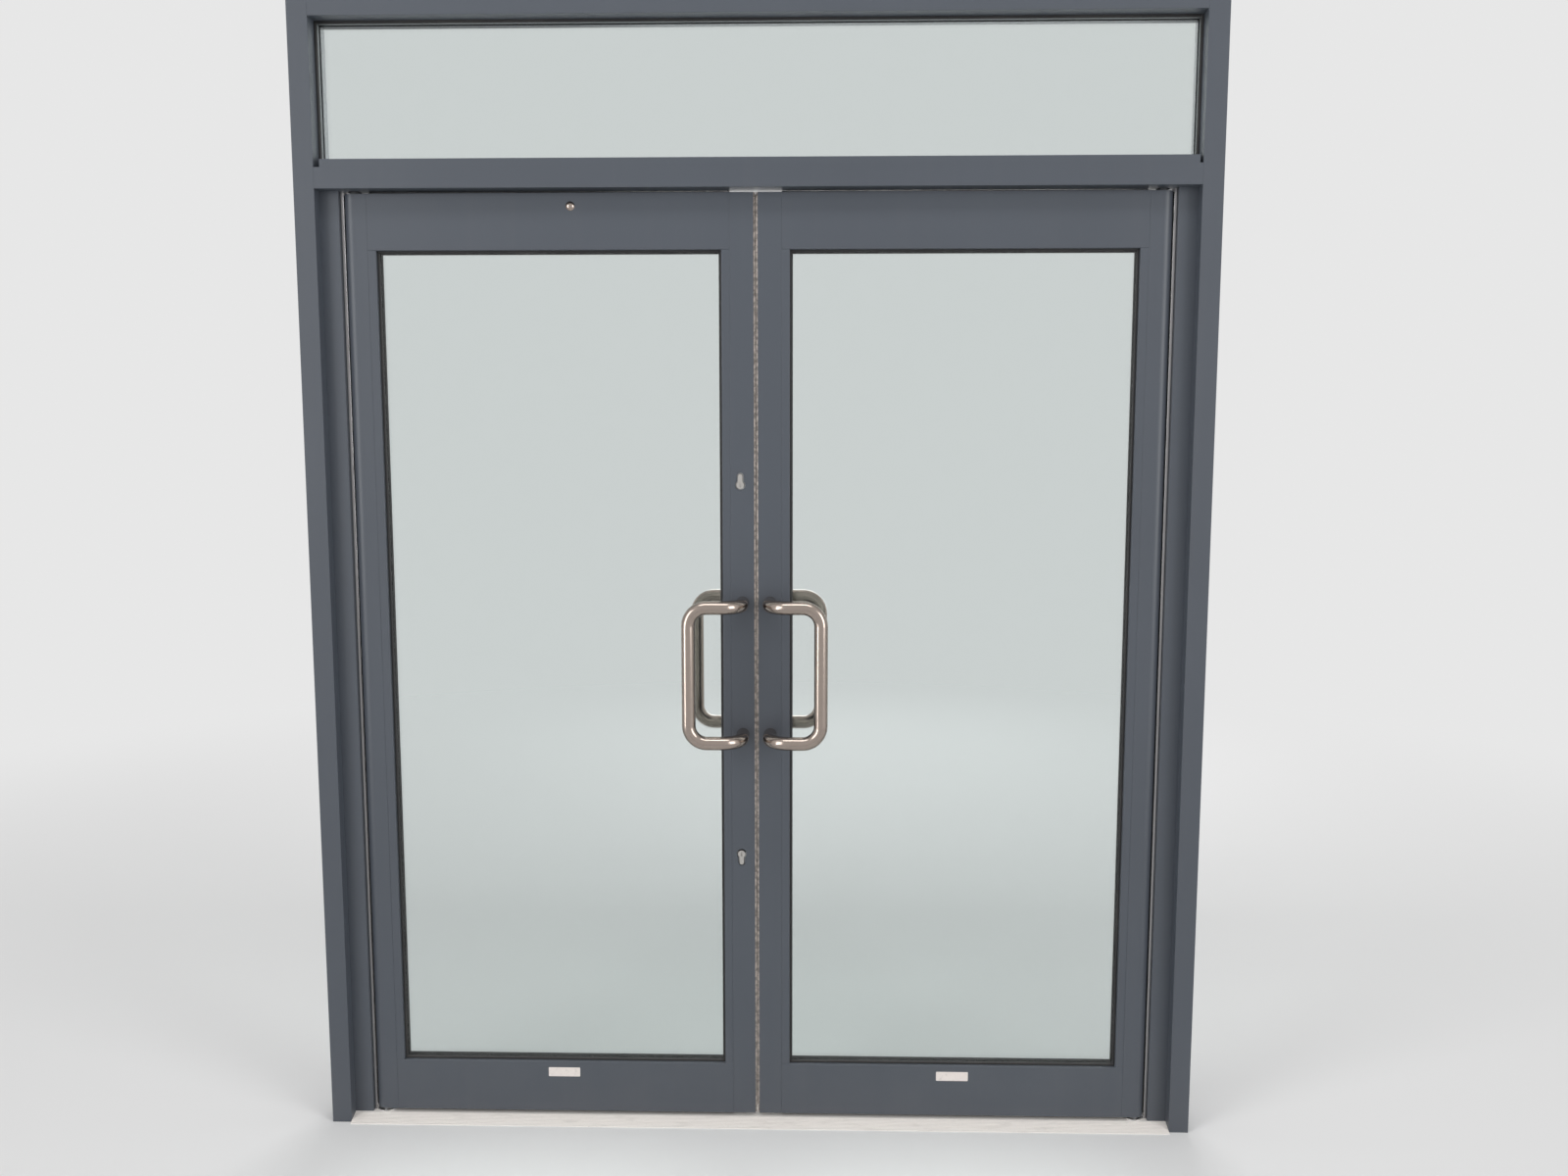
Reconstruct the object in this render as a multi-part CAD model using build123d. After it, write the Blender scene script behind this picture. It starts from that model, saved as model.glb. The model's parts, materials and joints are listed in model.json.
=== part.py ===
from build123d import *
from math import cos, sin, radians, sqrt
import os

# Glazed double swing entrance door with fanlight, in its frame.
# Origin: bottom centre of the frame. +X is to the right and +Y into the building,
# both seen from outside, and +Z is up. Sizes are in millimetres.
# Handed pieces are drawn for the right-hand side and mirrored for the left.

# Frame
FRAME_WIDTH = 1990.0
FRAME_HEIGHT = 2527.0
FRAME_DEPTH = 100.0
MEMBER_FACE = 45.0
FRAME_WALL = 2.5
FANLIGHT_OPENING = 312.0
EDGE_RADIUS = 0.8
SIGHT_EDGE_RADIUS = 1.5

# Glazing pocket of the mullions and the head
POCKET_WIDTH = 28.0
POCKET_DEPTH = 12.0

# Door jamb and its concave finger guard
JAMB_FACE = 42.0
JAMB_WALL = 2.5
JAMB_LEG_THICKNESS = 2.5
JAMB_LEG_REACH = 10.0
JAMB_LEG_CLEARANCE = 0.3
HINGE_GAP = 7.0
GUARD_CLEARANCE = 4.0
GUARD_LIP_WIDTH = 4.6
GUARD_HALF_HEIGHT = 12.0
GUARD_WEB_HALF = 8.5

# Leaves
LEAF_THICKNESS = 44.0
LEAF_BOTTOM = 20.0
TOP_GAP = 6.0
MEETING_GAP = 9.6
LEAF_WALL = 2.5
HINGE_STILE_FACE = 53.0
MEETING_STILE_FACE = 52.0
RAIL_HEIGHT = 103.0

# Glazing beads, gaskets and sealed units
BEAD_FACE = 18.0
BEAD_DEPTH = 8.0
BEAD_WALL = 1.4
GASKET_THICKNESS = 4.0
GASKET_SIGHT = 6.0
GASKET_COVER = 11.0
GASKET_CHAMFER = 2.5
PANE_THICKNESS = 4.0
GLASS_EDGE_GAP = 5.0
SPACER_INSET = 3.0
SPACER_WIDTH = 9.0
BLOCK_LENGTH = 100.0

# Fanlight
FANLIGHT_UPSTAND = 19.0
FANLIGHT_BEAD_SETBACK = 1.0
FANLIGHT_BEAD_FALL = 2.0
FANLIGHT_EDGE_COVER = 8.0
FANLIGHT_GASKET_COVER = 6.0
BEAD_GAP_LEFT = 13.0
BEAD_GAP_RIGHT = 7.0

# Brush pile strips and their T-slots
PILE_WIDTH = 4.2
PILE_BACK_WIDTH = 6.4
PILE_BACK_THICKNESS = 1.3
SLOT_LIP = 1.0
SLOT_WALL = 1.5
SLOT_CLEARANCE = 0.15
PILE_TIP_GAP = 0.5
MEETING_PILE_OFFSET = 15.5

# Threshold
THRESHOLD_DEPTH = 120.0
THRESHOLD_HEIGHT = 12.0
THRESHOLD_FLAT = 48.0
THRESHOLD_TOE = 2.5
THRESHOLD_SKIN = 4.0
THRESHOLD_RIB = 8.0
GROOVE_PITCH = 4.0
GROOVE_WIDTH = 1.4
GROOVE_DEPTH = 0.6
GROOVES_PER_RAMP = 8

# Floor pivots and transom closers
PIVOT_PIN_RADIUS = 8.0
PIVOT_PIN_HEIGHT = 45.0
PIVOT_PIN_CHAMFER = 1.5
PIVOT_BORE_RELIEF = 2.0
PIVOT_BASE_RADIUS = 24.0
PIVOT_BASE_THICKNESS = 3.0
PIVOT_BOSS_RADIUS = 13.0
SHOE_HEIGHT = 60.0
RUNNING_CLEARANCE = 0.05
SEAT_CLEARANCE = 0.3
CLOSER_LENGTH = 245.0
CLOSER_DEPTH = 76.0
CLOSER_HEIGHT = 32.0
CLOSER_NOSE = 60.0
CLOSER_CORNER = 8.0
SPINDLE_RADIUS = 10.0
SPINDLE_ENGAGEMENT = 24.0
SPINDLE_HOLE_RADIUS = 15.0
ARM_BLOCK_HEIGHT = 45.0

# Pull handles
HANDLE_RADIUS = 15.0
HANDLE_CENTRES = 300.0
HANDLE_MIDDLE_HEIGHT = 1075.0
HANDLE_FIXING_INSET = 26.0
HANDLE_OFFSET = 114.0
HANDLE_DEPTH = 90.0
HANDLE_CRANK_RADIUS = 48.0
HANDLE_CORNER_RADIUS = 40.0
HANDLE_BOLT_RADIUS = 4.0
HANDLE_BOLT_DEPTH = 20.0
HANDLE_BOLT_END_ROOM = 1.0
BOLT_HOLE_CLEARANCE = 0.5

# Locks, in the left leaf's meeting stile
LOCK_BACKSET = 30.0
UPPER_LOCK_RISE = 413.0
LOWER_LOCK_DROP = 429.0
FOREND_WIDTH = 22.0
FOREND_LENGTH = 160.0
FOREND_THICKNESS = 3.0
CASE_THICKNESS = 16.0
CASE_DEPTH = 45.0
CASE_WALL = 1.5
CASE_BELOW = 34.0
CASE_ABOVE = 62.0
BOLT_THICKNESS = 11.6
BOLT_HEIGHT = 28.0
BOLT_LENGTH = 38.0
BOLT_RISE = 17.0
BOLT_RECESS = 0.5
BOLT_CLEARANCE = 0.3
KEEP_LENGTH = 70.0
KEEP_THICKNESS = 2.0
CYLINDER_ROUND_RADIUS = 8.5
CYLINDER_FOOT_RADIUS = 5.0
CYLINDER_HEIGHT = 33.0
CYLINDER_REACH = 3.0
CYLINDER_HOLE_MARGIN = 2.6
PLUG_RADIUS = 6.5
CAM_RADIUS = 15.0
CAM_HUB_RADIUS = 8.3
CAM_WIDTH = 9.6
CAM_LOBE_WIDTH = 8.0
CAM_NOTCH_WIDTH = 10.4
CAM_NOTCH_RADIUS = 16.0
KEYWAY_WIDTH = 2.0
KEYWAY_HEIGHT = 9.0
KEYWAY_DEPTH = 6.0

# Fasteners
SCREW_RADIUS = 2.35
SCREW_LENGTH = 28.0
SCREW_HEAD_RADIUS = 4.5
SCREW_HEAD_HEIGHT = 3.0
SCREW_HOLE_CLEARANCE = 0.25
PORT_RADIUS = 4.2
PORT_SINK = 3.0
PORT_OFFSET = 32.0
WALL_FIXING_RADIUS = 4.25
WALL_FIXING_LOW = 300.0
WALL_FIXING_DROP = 427.0
WALL_FIXINGS = 4
ACCESS_HOLE_RADIUS = 8.0
STUD_X = 402.0
STUD_DROP = 28.0
STUD_RADIUS = 10.0
STUD_HEIGHT = 5.0
STUD_SHANK_RADIUS = 3.0
STUD_SHANK_LENGTH = 8.0

# How far a cut runs on past the faces that it goes through
CUT = 1.0

# Places worked out from the sizes above
MULLION_OUT = FRAME_WIDTH / 2
MULLION_IN = MULLION_OUT - MEMBER_FACE
FRAME_HALF = FRAME_DEPTH / 2
POCKET_HALF = POCKET_WIDTH / 2
HEAD_UNDERSIDE = FRAME_HEIGHT - MEMBER_FACE
TRANSOM_TOP = HEAD_UNDERSIDE - FANLIGHT_OPENING
TRANSOM_UNDERSIDE = TRANSOM_TOP - MEMBER_FACE
WALL_FIXING_HIGH = FRAME_HEIGHT - WALL_FIXING_DROP
WALL_FIXING_PITCH = (WALL_FIXING_HIGH - WALL_FIXING_LOW) / (WALL_FIXINGS - 1)
FAN_LOW = TRANSOM_TOP + GLASS_EDGE_GAP
FAN_HIGH = HEAD_UNDERSIDE + FANLIGHT_EDGE_COVER
FAN_SIDE = MULLION_IN + FANLIGHT_EDGE_COVER
JAMB_EDGE = MULLION_IN - JAMB_FACE
LEAF_HALF = LEAF_THICKNESS / 2
NOSE_X = JAMB_EDGE - HINGE_GAP
PIVOT_X = NOSE_X - LEAF_HALF
STILE_X = NOSE_X - HINGE_STILE_FACE
EDGE_X = MEETING_GAP / 2
RAIL_X = EDGE_X + MEETING_STILE_FACE
LEAF_TOP = TRANSOM_UNDERSIDE - TOP_GAP
REBATE_LOW = LEAF_BOTTOM + RAIL_HEIGHT
REBATE_HIGH = LEAF_TOP - RAIL_HEIGHT
SIGHT_LOW = REBATE_LOW + BEAD_FACE
SIGHT_HIGH = REBATE_HIGH - BEAD_FACE
SIGHT_IN = RAIL_X + BEAD_FACE
SIGHT_OUT = STILE_X - BEAD_FACE
BEAD_BACK = LEAF_HALF - BEAD_DEPTH
GLASS_HALF = BEAD_BACK - GASKET_THICKNESS
PANE_INNER = GLASS_HALF - PANE_THICKNESS
HANDLE_X = EDGE_X + HANDLE_FIXING_INSET
HANDLE_LOW = HANDLE_MIDDLE_HEIGHT - HANDLE_CENTRES / 2
HANDLE_HIGH = HANDLE_MIDDLE_HEIGHT + HANDLE_CENTRES / 2
LOCK_X = EDGE_X + LOCK_BACKSET
UPPER_LOCK_Z = HANDLE_MIDDLE_HEIGHT + UPPER_LOCK_RISE
LOWER_LOCK_Z = HANDLE_MIDDLE_HEIGHT - LOWER_LOCK_DROP


def slab(x0, x1, y0, y1, z0, z1):
    """Block between two corners."""
    place = Pos((x0 + x1) / 2, (y0 + y1) / 2, (z0 + z1) / 2)
    return place * Box(x1 - x0, y1 - y0, z1 - z0)


def rect(u0, u1, v0, v1):
    """Rectangle between two corners of a section."""
    return Pos((u0 + u1) / 2, (v0 + v1) / 2) * Rectangle(u1 - u0, v1 - v0)


def both_sides(section):
    """A section and its mirror image across its first axis."""
    return section + mirror(section, about=Plane.XZ)


def both_ends(section):
    """A section and its mirror image across its second axis."""
    return section + mirror(section, about=Plane.YZ)


def upright(section, z0, z1):
    """Extrusion of a plan section, standing between two heights."""
    return extrude(Pos(0, 0, z0) * section, amount=z1 - z0, dir=(0, 0, 1))


def crosswise(section, x0, x1):
    """Extrusion of an upright section, its axes Y and Z, lying along X."""
    return extrude(Plane.YZ.offset(x0) * section, amount=x1 - x0, dir=(1, 0, 0))


def rod(radius, start, direction, length):
    """Round bar from a point along a direction."""
    return extrude(Plane(origin=start, z_dir=direction) * Circle(radius), amount=length)


def bore(radius, start, direction, length):
    """Cutting bar for a hole through a wall, run on past both of the wall's faces."""
    way = Vector(*direction)
    return rod(radius, Vector(*start) - way * CUT, direction, length + 2 * CUT)


def to_left(piece):
    """The piece's twin on the left-hand side."""
    return mirror(piece, about=Plane.YZ)


def rounded(section, points, radius):
    """Section with small radii at the corners nearest to the points."""
    corners = [section.vertices().sort_by_distance(p)[0] for p in points]
    return fillet(corners, radius)


# Pile strips: a backing held in a T-slot, with the pile standing out of its mouth

def pile_slot_cut(mouth, direction):
    """Section to cut for one T-slot, from a mouth point on a flat edge."""
    lip = PILE_WIDTH / 2 + SLOT_CLEARANCE
    back = PILE_BACK_WIDTH / 2 + SLOT_CLEARANCE
    depth = SLOT_LIP + PILE_BACK_THICKNESS + SLOT_CLEARANCE
    neck = rect(-CUT, depth, -lip, lip)
    chamber = rect(SLOT_LIP, depth, -back, back)
    return Pos(*mouth) * Rot(0, 0, direction) * (neck + chamber)


def pile_slot_boss(mouth, direction):
    """Section of the thicker metal that surrounds a T-slot."""
    half = PILE_BACK_WIDTH / 2 + SLOT_CLEARANCE + SLOT_WALL
    depth = SLOT_LIP + PILE_BACK_THICKNESS + SLOT_CLEARANCE + SLOT_WALL
    return Pos(*mouth) * Rot(0, 0, direction) * rect(0.0, depth, -half, half)


def pile_section(mouth, direction, reach):
    """Section of a pile strip that stands a reach out of its slot's mouth."""
    back_half, pile_half = PILE_BACK_WIDTH / 2, PILE_WIDTH / 2
    backing = rect(SLOT_LIP, SLOT_LIP + PILE_BACK_THICKNESS, -back_half, back_half)
    pile = rect(-reach, SLOT_LIP, -pile_half, pile_half)
    return Pos(*mouth) * Rot(0, 0, direction) * (backing + pile)


# Frame members

def port_places(top):
    """Centres of the two screw ports under a member's top wall."""
    z = top - FRAME_WALL - PORT_SINK
    return [(PORT_OFFSET, z), (-PORT_OFFSET, z)]


def with_ports(section, top):
    """A member's section with its two screw ports added and bored."""
    for y, z in port_places(top):
        section += Pos(y, z) * Circle(PORT_RADIUS)
        section -= Pos(y, z) * Circle(SCREW_RADIUS + RUNNING_CLEARANCE)
    return section


def mullion():
    """Hollow right-hand mullion with a glazing pocket along its inner face."""
    outer = rect(MULLION_IN, MULLION_OUT, -FRAME_HALF, FRAME_HALF)
    outer = fillet(outer.vertices(), EDGE_RADIUS)
    cavity = rect(MULLION_IN + FRAME_WALL, MULLION_OUT - FRAME_WALL,
                  -FRAME_HALF + FRAME_WALL, FRAME_HALF - FRAME_WALL)
    pocket_back = MULLION_IN + POCKET_DEPTH
    lining_half = POCKET_HALF + FRAME_WALL
    lining = rect(MULLION_IN, pocket_back + FRAME_WALL, -lining_half, lining_half)
    pocket = rect(MULLION_IN, pocket_back, -POCKET_HALF, POCKET_HALF)
    body = upright(outer - (cavity - lining) - pocket, 0, FRAME_HEIGHT)
    for i in range(WALL_FIXINGS):
        z = WALL_FIXING_LOW + WALL_FIXING_PITCH * i
        body -= bore(WALL_FIXING_RADIUS, (MULLION_OUT - FRAME_WALL, 0, z), (1, 0, 0), FRAME_WALL)
        body -= bore(ACCESS_HOLE_RADIUS, (pocket_back, 0, z), (1, 0, 0), FRAME_WALL)
    for top in (TRANSOM_TOP, FRAME_HEIGHT):
        for y, z in port_places(top):
            hole = SCREW_RADIUS + SCREW_HOLE_CLEARANCE
            body -= bore(hole, (MULLION_IN, y, z), (1, 0, 0), FRAME_WALL)
    return body


def head():
    """Hollow head with the glazing pocket in its underside."""
    outer = rect(-FRAME_HALF, FRAME_HALF, HEAD_UNDERSIDE, FRAME_HEIGHT)
    outer = fillet(outer.vertices(), EDGE_RADIUS)
    cavity = rect(-FRAME_HALF + FRAME_WALL, FRAME_HALF - FRAME_WALL,
                  HEAD_UNDERSIDE + FRAME_WALL, FRAME_HEIGHT - FRAME_WALL)
    pocket_top = HEAD_UNDERSIDE + POCKET_DEPTH
    lining_half = POCKET_HALF + FRAME_WALL
    lining = rect(-lining_half, lining_half, HEAD_UNDERSIDE, pocket_top + FRAME_WALL)
    pocket = rect(-POCKET_HALF, POCKET_HALF, HEAD_UNDERSIDE, pocket_top)
    section = outer - (cavity - lining) - pocket
    return crosswise(with_ports(section, FRAME_HEIGHT), -MULLION_IN, MULLION_IN)


def transom():
    """Hollow transom: closers lie inside it, and a back upstand holds the fanlight."""
    upstand_front = GLASS_HALF + GASKET_THICKNESS
    upstand_top = TRANSOM_TOP + FANLIGHT_UPSTAND
    outer = rect(-FRAME_HALF, FRAME_HALF, TRANSOM_UNDERSIDE, TRANSOM_TOP)
    outer += rect(upstand_front, FRAME_HALF, TRANSOM_TOP, upstand_top)
    outer = rounded(outer, [(-FRAME_HALF, TRANSOM_UNDERSIDE), (FRAME_HALF, TRANSOM_UNDERSIDE),
                            (FRAME_HALF, upstand_top)], EDGE_RADIUS)
    cavity = rect(-FRAME_HALF + FRAME_WALL, FRAME_HALF - FRAME_WALL,
                  TRANSOM_UNDERSIDE + FRAME_WALL, TRANSOM_TOP - FRAME_WALL)
    upstand_cavity = rect(upstand_front + FRAME_WALL, FRAME_HALF - FRAME_WALL,
                          TRANSOM_TOP, upstand_top - FRAME_WALL)
    section = outer - cavity - upstand_cavity
    body = crosswise(with_ports(section, TRANSOM_TOP), -MULLION_IN, MULLION_IN)
    for x in (-PIVOT_X, PIVOT_X):
        body -= bore(SPINDLE_HOLE_RADIUS, (x, 0, TRANSOM_UNDERSIDE), (0, 0, 1), FRAME_WALL)
    return body


def frame_screws():
    """Screws through the mullions' inner walls into the ports of transom and head."""
    screws = []
    for top in (TRANSOM_TOP, FRAME_HEIGHT):
        for y, z in port_places(top):
            wall_face = MULLION_IN + FRAME_WALL
            shank = rod(SCREW_RADIUS, (wall_face - SCREW_LENGTH, y, z), (1, 0, 0), SCREW_LENGTH)
            screw_head = rod(SCREW_HEAD_RADIUS, (wall_face, y, z), (1, 0, 0), SCREW_HEAD_HEIGHT)
            screws += [shank + screw_head, to_left(shank + screw_head)]
    return screws


def door_jamb():
    """Flat right-hand jamb that clips into the mullion's pocket with two legs."""
    outer = rect(JAMB_EDGE, MULLION_IN, -LEAF_HALF, LEAF_HALF)
    outer = rounded(outer, [(JAMB_EDGE, -LEAF_HALF), (JAMB_EDGE, LEAF_HALF)], EDGE_RADIUS)
    cavity = rect(JAMB_EDGE + JAMB_WALL, MULLION_IN - JAMB_WALL,
                  -LEAF_HALF + JAMB_WALL, LEAF_HALF - JAMB_WALL)
    leg_out = POCKET_HALF - JAMB_LEG_CLEARANCE
    leg = rect(MULLION_IN, MULLION_IN + JAMB_LEG_REACH, leg_out - JAMB_LEG_THICKNESS, leg_out)
    return upright(outer - cavity + both_sides(leg), THRESHOLD_HEIGHT, TRANSOM_UNDERSIDE)


def finger_guard():
    """Concave insert that follows the round hinge stile and leaves no finger trap."""
    tip = PIVOT_X + sqrt((LEAF_HALF + GUARD_CLEARANCE) ** 2 - GUARD_HALF_HEIGHT ** 2)
    web = rect(tip, JAMB_EDGE, -GUARD_WEB_HALF, GUARD_WEB_HALF)
    lips = rect(tip, tip + GUARD_LIP_WIDTH, -GUARD_HALF_HEIGHT, GUARD_HALF_HEIGHT)
    section = web + lips - Pos(PIVOT_X, 0) * Circle(LEAF_HALF + GUARD_CLEARANCE)
    return upright(section, THRESHOLD_HEIGHT, TRANSOM_UNDERSIDE)


def threshold():
    """Ramped threshold with fine lengthwise grooves and a hollow underside."""
    half, flat = THRESHOLD_DEPTH / 2, THRESHOLD_FLAT / 2
    section = Polygon((-half, 0), (-half, THRESHOLD_TOE), (-flat, THRESHOLD_HEIGHT),
                      (flat, THRESHOLD_HEIGHT), (half, THRESHOLD_TOE), (half, 0), align=None)
    hollow = rect(THRESHOLD_RIB / 2, flat - THRESHOLD_RIB / 2, 0, THRESHOLD_HEIGHT - THRESHOLD_SKIN)
    section -= both_ends(hollow)
    run = half - flat
    rise = THRESHOLD_HEIGHT - THRESHOLD_TOE
    for i in range(GROOVES_PER_RAMP):
        y = flat + GROOVE_PITCH * (i + 1)
        z = THRESHOLD_HEIGHT - rise * (y - flat) / run
        groove = rect(y - GROOVE_WIDTH / 2, y + GROOVE_WIDTH / 2, z - GROOVE_DEPTH, z + GROOVE_WIDTH)
        section -= both_ends(groove)
    return crosswise(section, -MULLION_IN, MULLION_IN)


# Fanlight above the doors

def ring(x0, x1, z0, z1, width, y0, y1):
    """Upright rectangular ring between two depths, its width measured inwards."""
    outer = slab(x0, x1, y0, y1, z0, z1)
    return outer - slab(x0 + width, x1 - width, y0 - CUT, y1 + CUT, z0 + width, z1 - width)


def glass_panes(x0, x1, z0, z1):
    """Outer and inner pane of a sealed unit."""
    outer = slab(x0, x1, -GLASS_HALF, -PANE_INNER, z0, z1)
    inner = slab(x0, x1, PANE_INNER, GLASS_HALF, z0, z1)
    return [outer, inner]


def spacer_bar(x0, x1, z0, z1):
    """Spacer that parts the two panes all round."""
    e = SPACER_INSET
    return ring(x0 + e, x1 - e, z0 + e, z1 - e, SPACER_WIDTH, -PANE_INNER, PANE_INNER)


def gasket_pair(sight, cover):
    """Outer and inner glazing gasket: rings that stand inside the sight line."""
    x0, x1, z0, z1 = sight
    width = cover + GASKET_SIGHT
    outer = ring(x0 - cover, x1 + cover, z0 - cover, z1 + cover, width, -BEAD_BACK, -GLASS_HALF)
    rim = [e for e in outer.edges() if is_lip_edge(e, x0, x1, z0, z1)]
    outer = chamfer(rim, GASKET_CHAMFER)
    return [outer, mirror(outer, about=Plane.XZ)]


def is_lip_edge(edge, x0, x1, z0, z1):
    """True for the four edges at the front of a gasket's opening."""
    c = edge.center()
    inside = x0 < c.X < x1 and z0 < c.Z < z1
    return inside and abs(c.Y + BEAD_BACK) < 0.01 and abs(edge.tangent_at(0).Y) < 0.5


def setting_blocks(x0, x1, z0):
    """Two blocks that carry a sealed unit near its quarter points."""
    blocks = []
    for share in (0.25, 0.75):
        middle = x0 + (x1 - x0) * share
        blocks.append(slab(middle - BLOCK_LENGTH / 2, middle + BLOCK_LENGTH / 2,
                           -GLASS_HALF, GLASS_HALF, z0, z0 + GLASS_EDGE_GAP))
    return blocks


def fanlight_bead():
    """Hollow outside bead on the transom, cut short of both mullions."""
    front = -FRAME_HALF + FANLIGHT_BEAD_SETBACK
    back = -GLASS_HALF - GASKET_THICKNESS
    top = TRANSOM_TOP + FANLIGHT_UPSTAND
    t = BEAD_WALL
    outer = Polygon((front, TRANSOM_TOP), (front, top - FANLIGHT_BEAD_FALL), (back, top),
                    (back, TRANSOM_TOP), align=None)
    inner = Polygon((front + t, TRANSOM_TOP + t), (front + t, top - FANLIGHT_BEAD_FALL - t),
                    (back - t, top - t), (back - t, TRANSOM_TOP + t), align=None)
    outer = rounded(outer, [(front, top - FANLIGHT_BEAD_FALL)], EDGE_RADIUS)
    return crosswise(outer - inner, -MULLION_IN + BEAD_GAP_LEFT, MULLION_IN - BEAD_GAP_RIGHT)


def fanlight_gaskets():
    """Gaskets of the fanlight, from the pockets and the bead to the glass."""
    sight = (-MULLION_IN, MULLION_IN, TRANSOM_TOP + FANLIGHT_UPSTAND, HEAD_UNDERSIDE)
    return gasket_pair(sight, FANLIGHT_GASKET_COVER)


# Leaf members, drawn for the right-hand leaf

def hinge_stile():
    """Hinge stile whose outer edge is a half round about the pivot axis."""
    outer = rect(STILE_X, PIVOT_X, -LEAF_HALF, LEAF_HALF) + Pos(PIVOT_X, 0) * Circle(LEAF_HALF)
    outer = rounded(outer, [(STILE_X, -LEAF_HALF), (STILE_X, LEAF_HALF)], EDGE_RADIUS)
    inner = LEAF_HALF - LEAF_WALL
    cavity = rect(STILE_X + LEAF_WALL, PIVOT_X, -inner, inner) + Pos(PIVOT_X, 0) * Circle(inner)
    boss = pile_slot_boss((NOSE_X, 0), 180) & outer
    section = outer - (cavity - boss) - pile_slot_cut((NOSE_X, 0), 180)
    return upright(section, LEAF_BOTTOM, LEAF_TOP)


def meeting_stile_section():
    """Plan section of the meeting stile, with two pile slots in its edge."""
    outer = rect(EDGE_X, RAIL_X, -LEAF_HALF, LEAF_HALF)
    outer = fillet(outer.vertices(), EDGE_RADIUS)
    cavity = rect(EDGE_X + LEAF_WALL, RAIL_X - LEAF_WALL, -LEAF_HALF + LEAF_WALL, LEAF_HALF - LEAF_WALL)
    mouth = (EDGE_X, MEETING_PILE_OFFSET)
    boss = pile_slot_boss(mouth, 0) & outer
    cut = pile_slot_cut(mouth, 0)
    return outer - (cavity - both_sides(boss)) - both_sides(cut)


def meeting_stile():
    """Meeting stile bored for the pull handles' bolts."""
    body = upright(meeting_stile_section(), LEAF_BOTTOM, LEAF_TOP)
    for z in (HANDLE_LOW, HANDLE_HIGH):
        hole = HANDLE_BOLT_RADIUS + BOLT_HOLE_CLEARANCE
        body -= bore(hole, (HANDLE_X, -LEAF_HALF, z), (0, 1, 0), LEAF_THICKNESS)
    return body


def rail_section(low, high, sight, slot_z, slot_direction):
    """Section of a rail: a hollow box, an outside flange to the sight line and a pile slot."""
    flange_low, flange_high = sorted((sight, high if sight > high else low))
    outer = rect(-LEAF_HALF, LEAF_HALF, low, high)
    outer += rect(-LEAF_HALF, -BEAD_BACK, flange_low, flange_high)
    outer = rounded(outer, [(-LEAF_HALF, sight)], SIGHT_EDGE_RADIUS)
    cavity = rect(-LEAF_HALF + LEAF_WALL, LEAF_HALF - LEAF_WALL, low + LEAF_WALL, high - LEAF_WALL)
    t = BEAD_WALL
    flange_cavity = rect(-LEAF_HALF + t, -BEAD_BACK - t, flange_low + t, flange_high - t)
    boss = pile_slot_boss((0, slot_z), slot_direction)
    web = rect(-LEAF_HALF, LEAF_HALF, (low + high) / 2 - t / 2, (low + high) / 2 + t / 2)
    return outer - (cavity - boss - web) - flange_cavity - pile_slot_cut((0, slot_z), slot_direction)


def bottom_rail():
    """Bottom rail with a flange up its outside face and a pile slot below."""
    section = rail_section(LEAF_BOTTOM, REBATE_LOW, SIGHT_LOW, LEAF_BOTTOM, 90)
    return crosswise(section, RAIL_X, STILE_X)


def top_rail():
    """Top rail with a flange down its outside face and a pile slot above."""
    section = rail_section(REBATE_HIGH, LEAF_TOP, SIGHT_HIGH, LEAF_TOP, -90)
    return crosswise(section, RAIL_X, STILE_X)


def bead_section(low, high, sight_corner, root_corner):
    """Section of a snap-on glazing bead, a thin box with both front edges rounded."""
    (u0, v0), (u1, v1) = low, high
    t = BEAD_WALL
    outer = rounded(rect(u0, u1, v0, v1), [sight_corner], SIGHT_EDGE_RADIUS)
    outer = rounded(outer, [root_corner], EDGE_RADIUS)
    return outer - rect(u0 + t, u1 - t, v0 + t, v1 - t)


def glazing_beads():
    """Outside beads up both stiles, and inside beads on all four sides."""
    beads = []
    for root, sight in ((RAIL_X, SIGHT_IN), (STILE_X, SIGHT_OUT)):
        x0, x1 = sorted((root, sight))
        outside = bead_section((x0, -LEAF_HALF), (x1, -BEAD_BACK), (sight, -LEAF_HALF), (root, -LEAF_HALF))
        inside = bead_section((x0, BEAD_BACK), (x1, LEAF_HALF), (sight, LEAF_HALF), (root, LEAF_HALF))
        beads += [upright(outside, SIGHT_LOW, SIGHT_HIGH), upright(inside, SIGHT_LOW, SIGHT_HIGH)]
    for root, sight in ((REBATE_LOW, SIGHT_LOW), (REBATE_HIGH, SIGHT_HIGH)):
        z0, z1 = sorted((root, sight))
        inside = bead_section((BEAD_BACK, z0), (LEAF_HALF, z1), (LEAF_HALF, sight), (LEAF_HALF, root))
        beads.append(crosswise(inside, RAIL_X, STILE_X))
    return beads


def leaf_glass_edges():
    """Edges of a leaf's sealed unit: two in X and two in Z."""
    e = GLASS_EDGE_GAP
    return RAIL_X + e, STILE_X - e, REBATE_LOW + e, REBATE_HIGH - e


def leaf_gaskets():
    """Glazing gaskets of one leaf."""
    return gasket_pair((SIGHT_IN, SIGHT_OUT, SIGHT_LOW, SIGHT_HIGH), GASKET_COVER)


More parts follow.
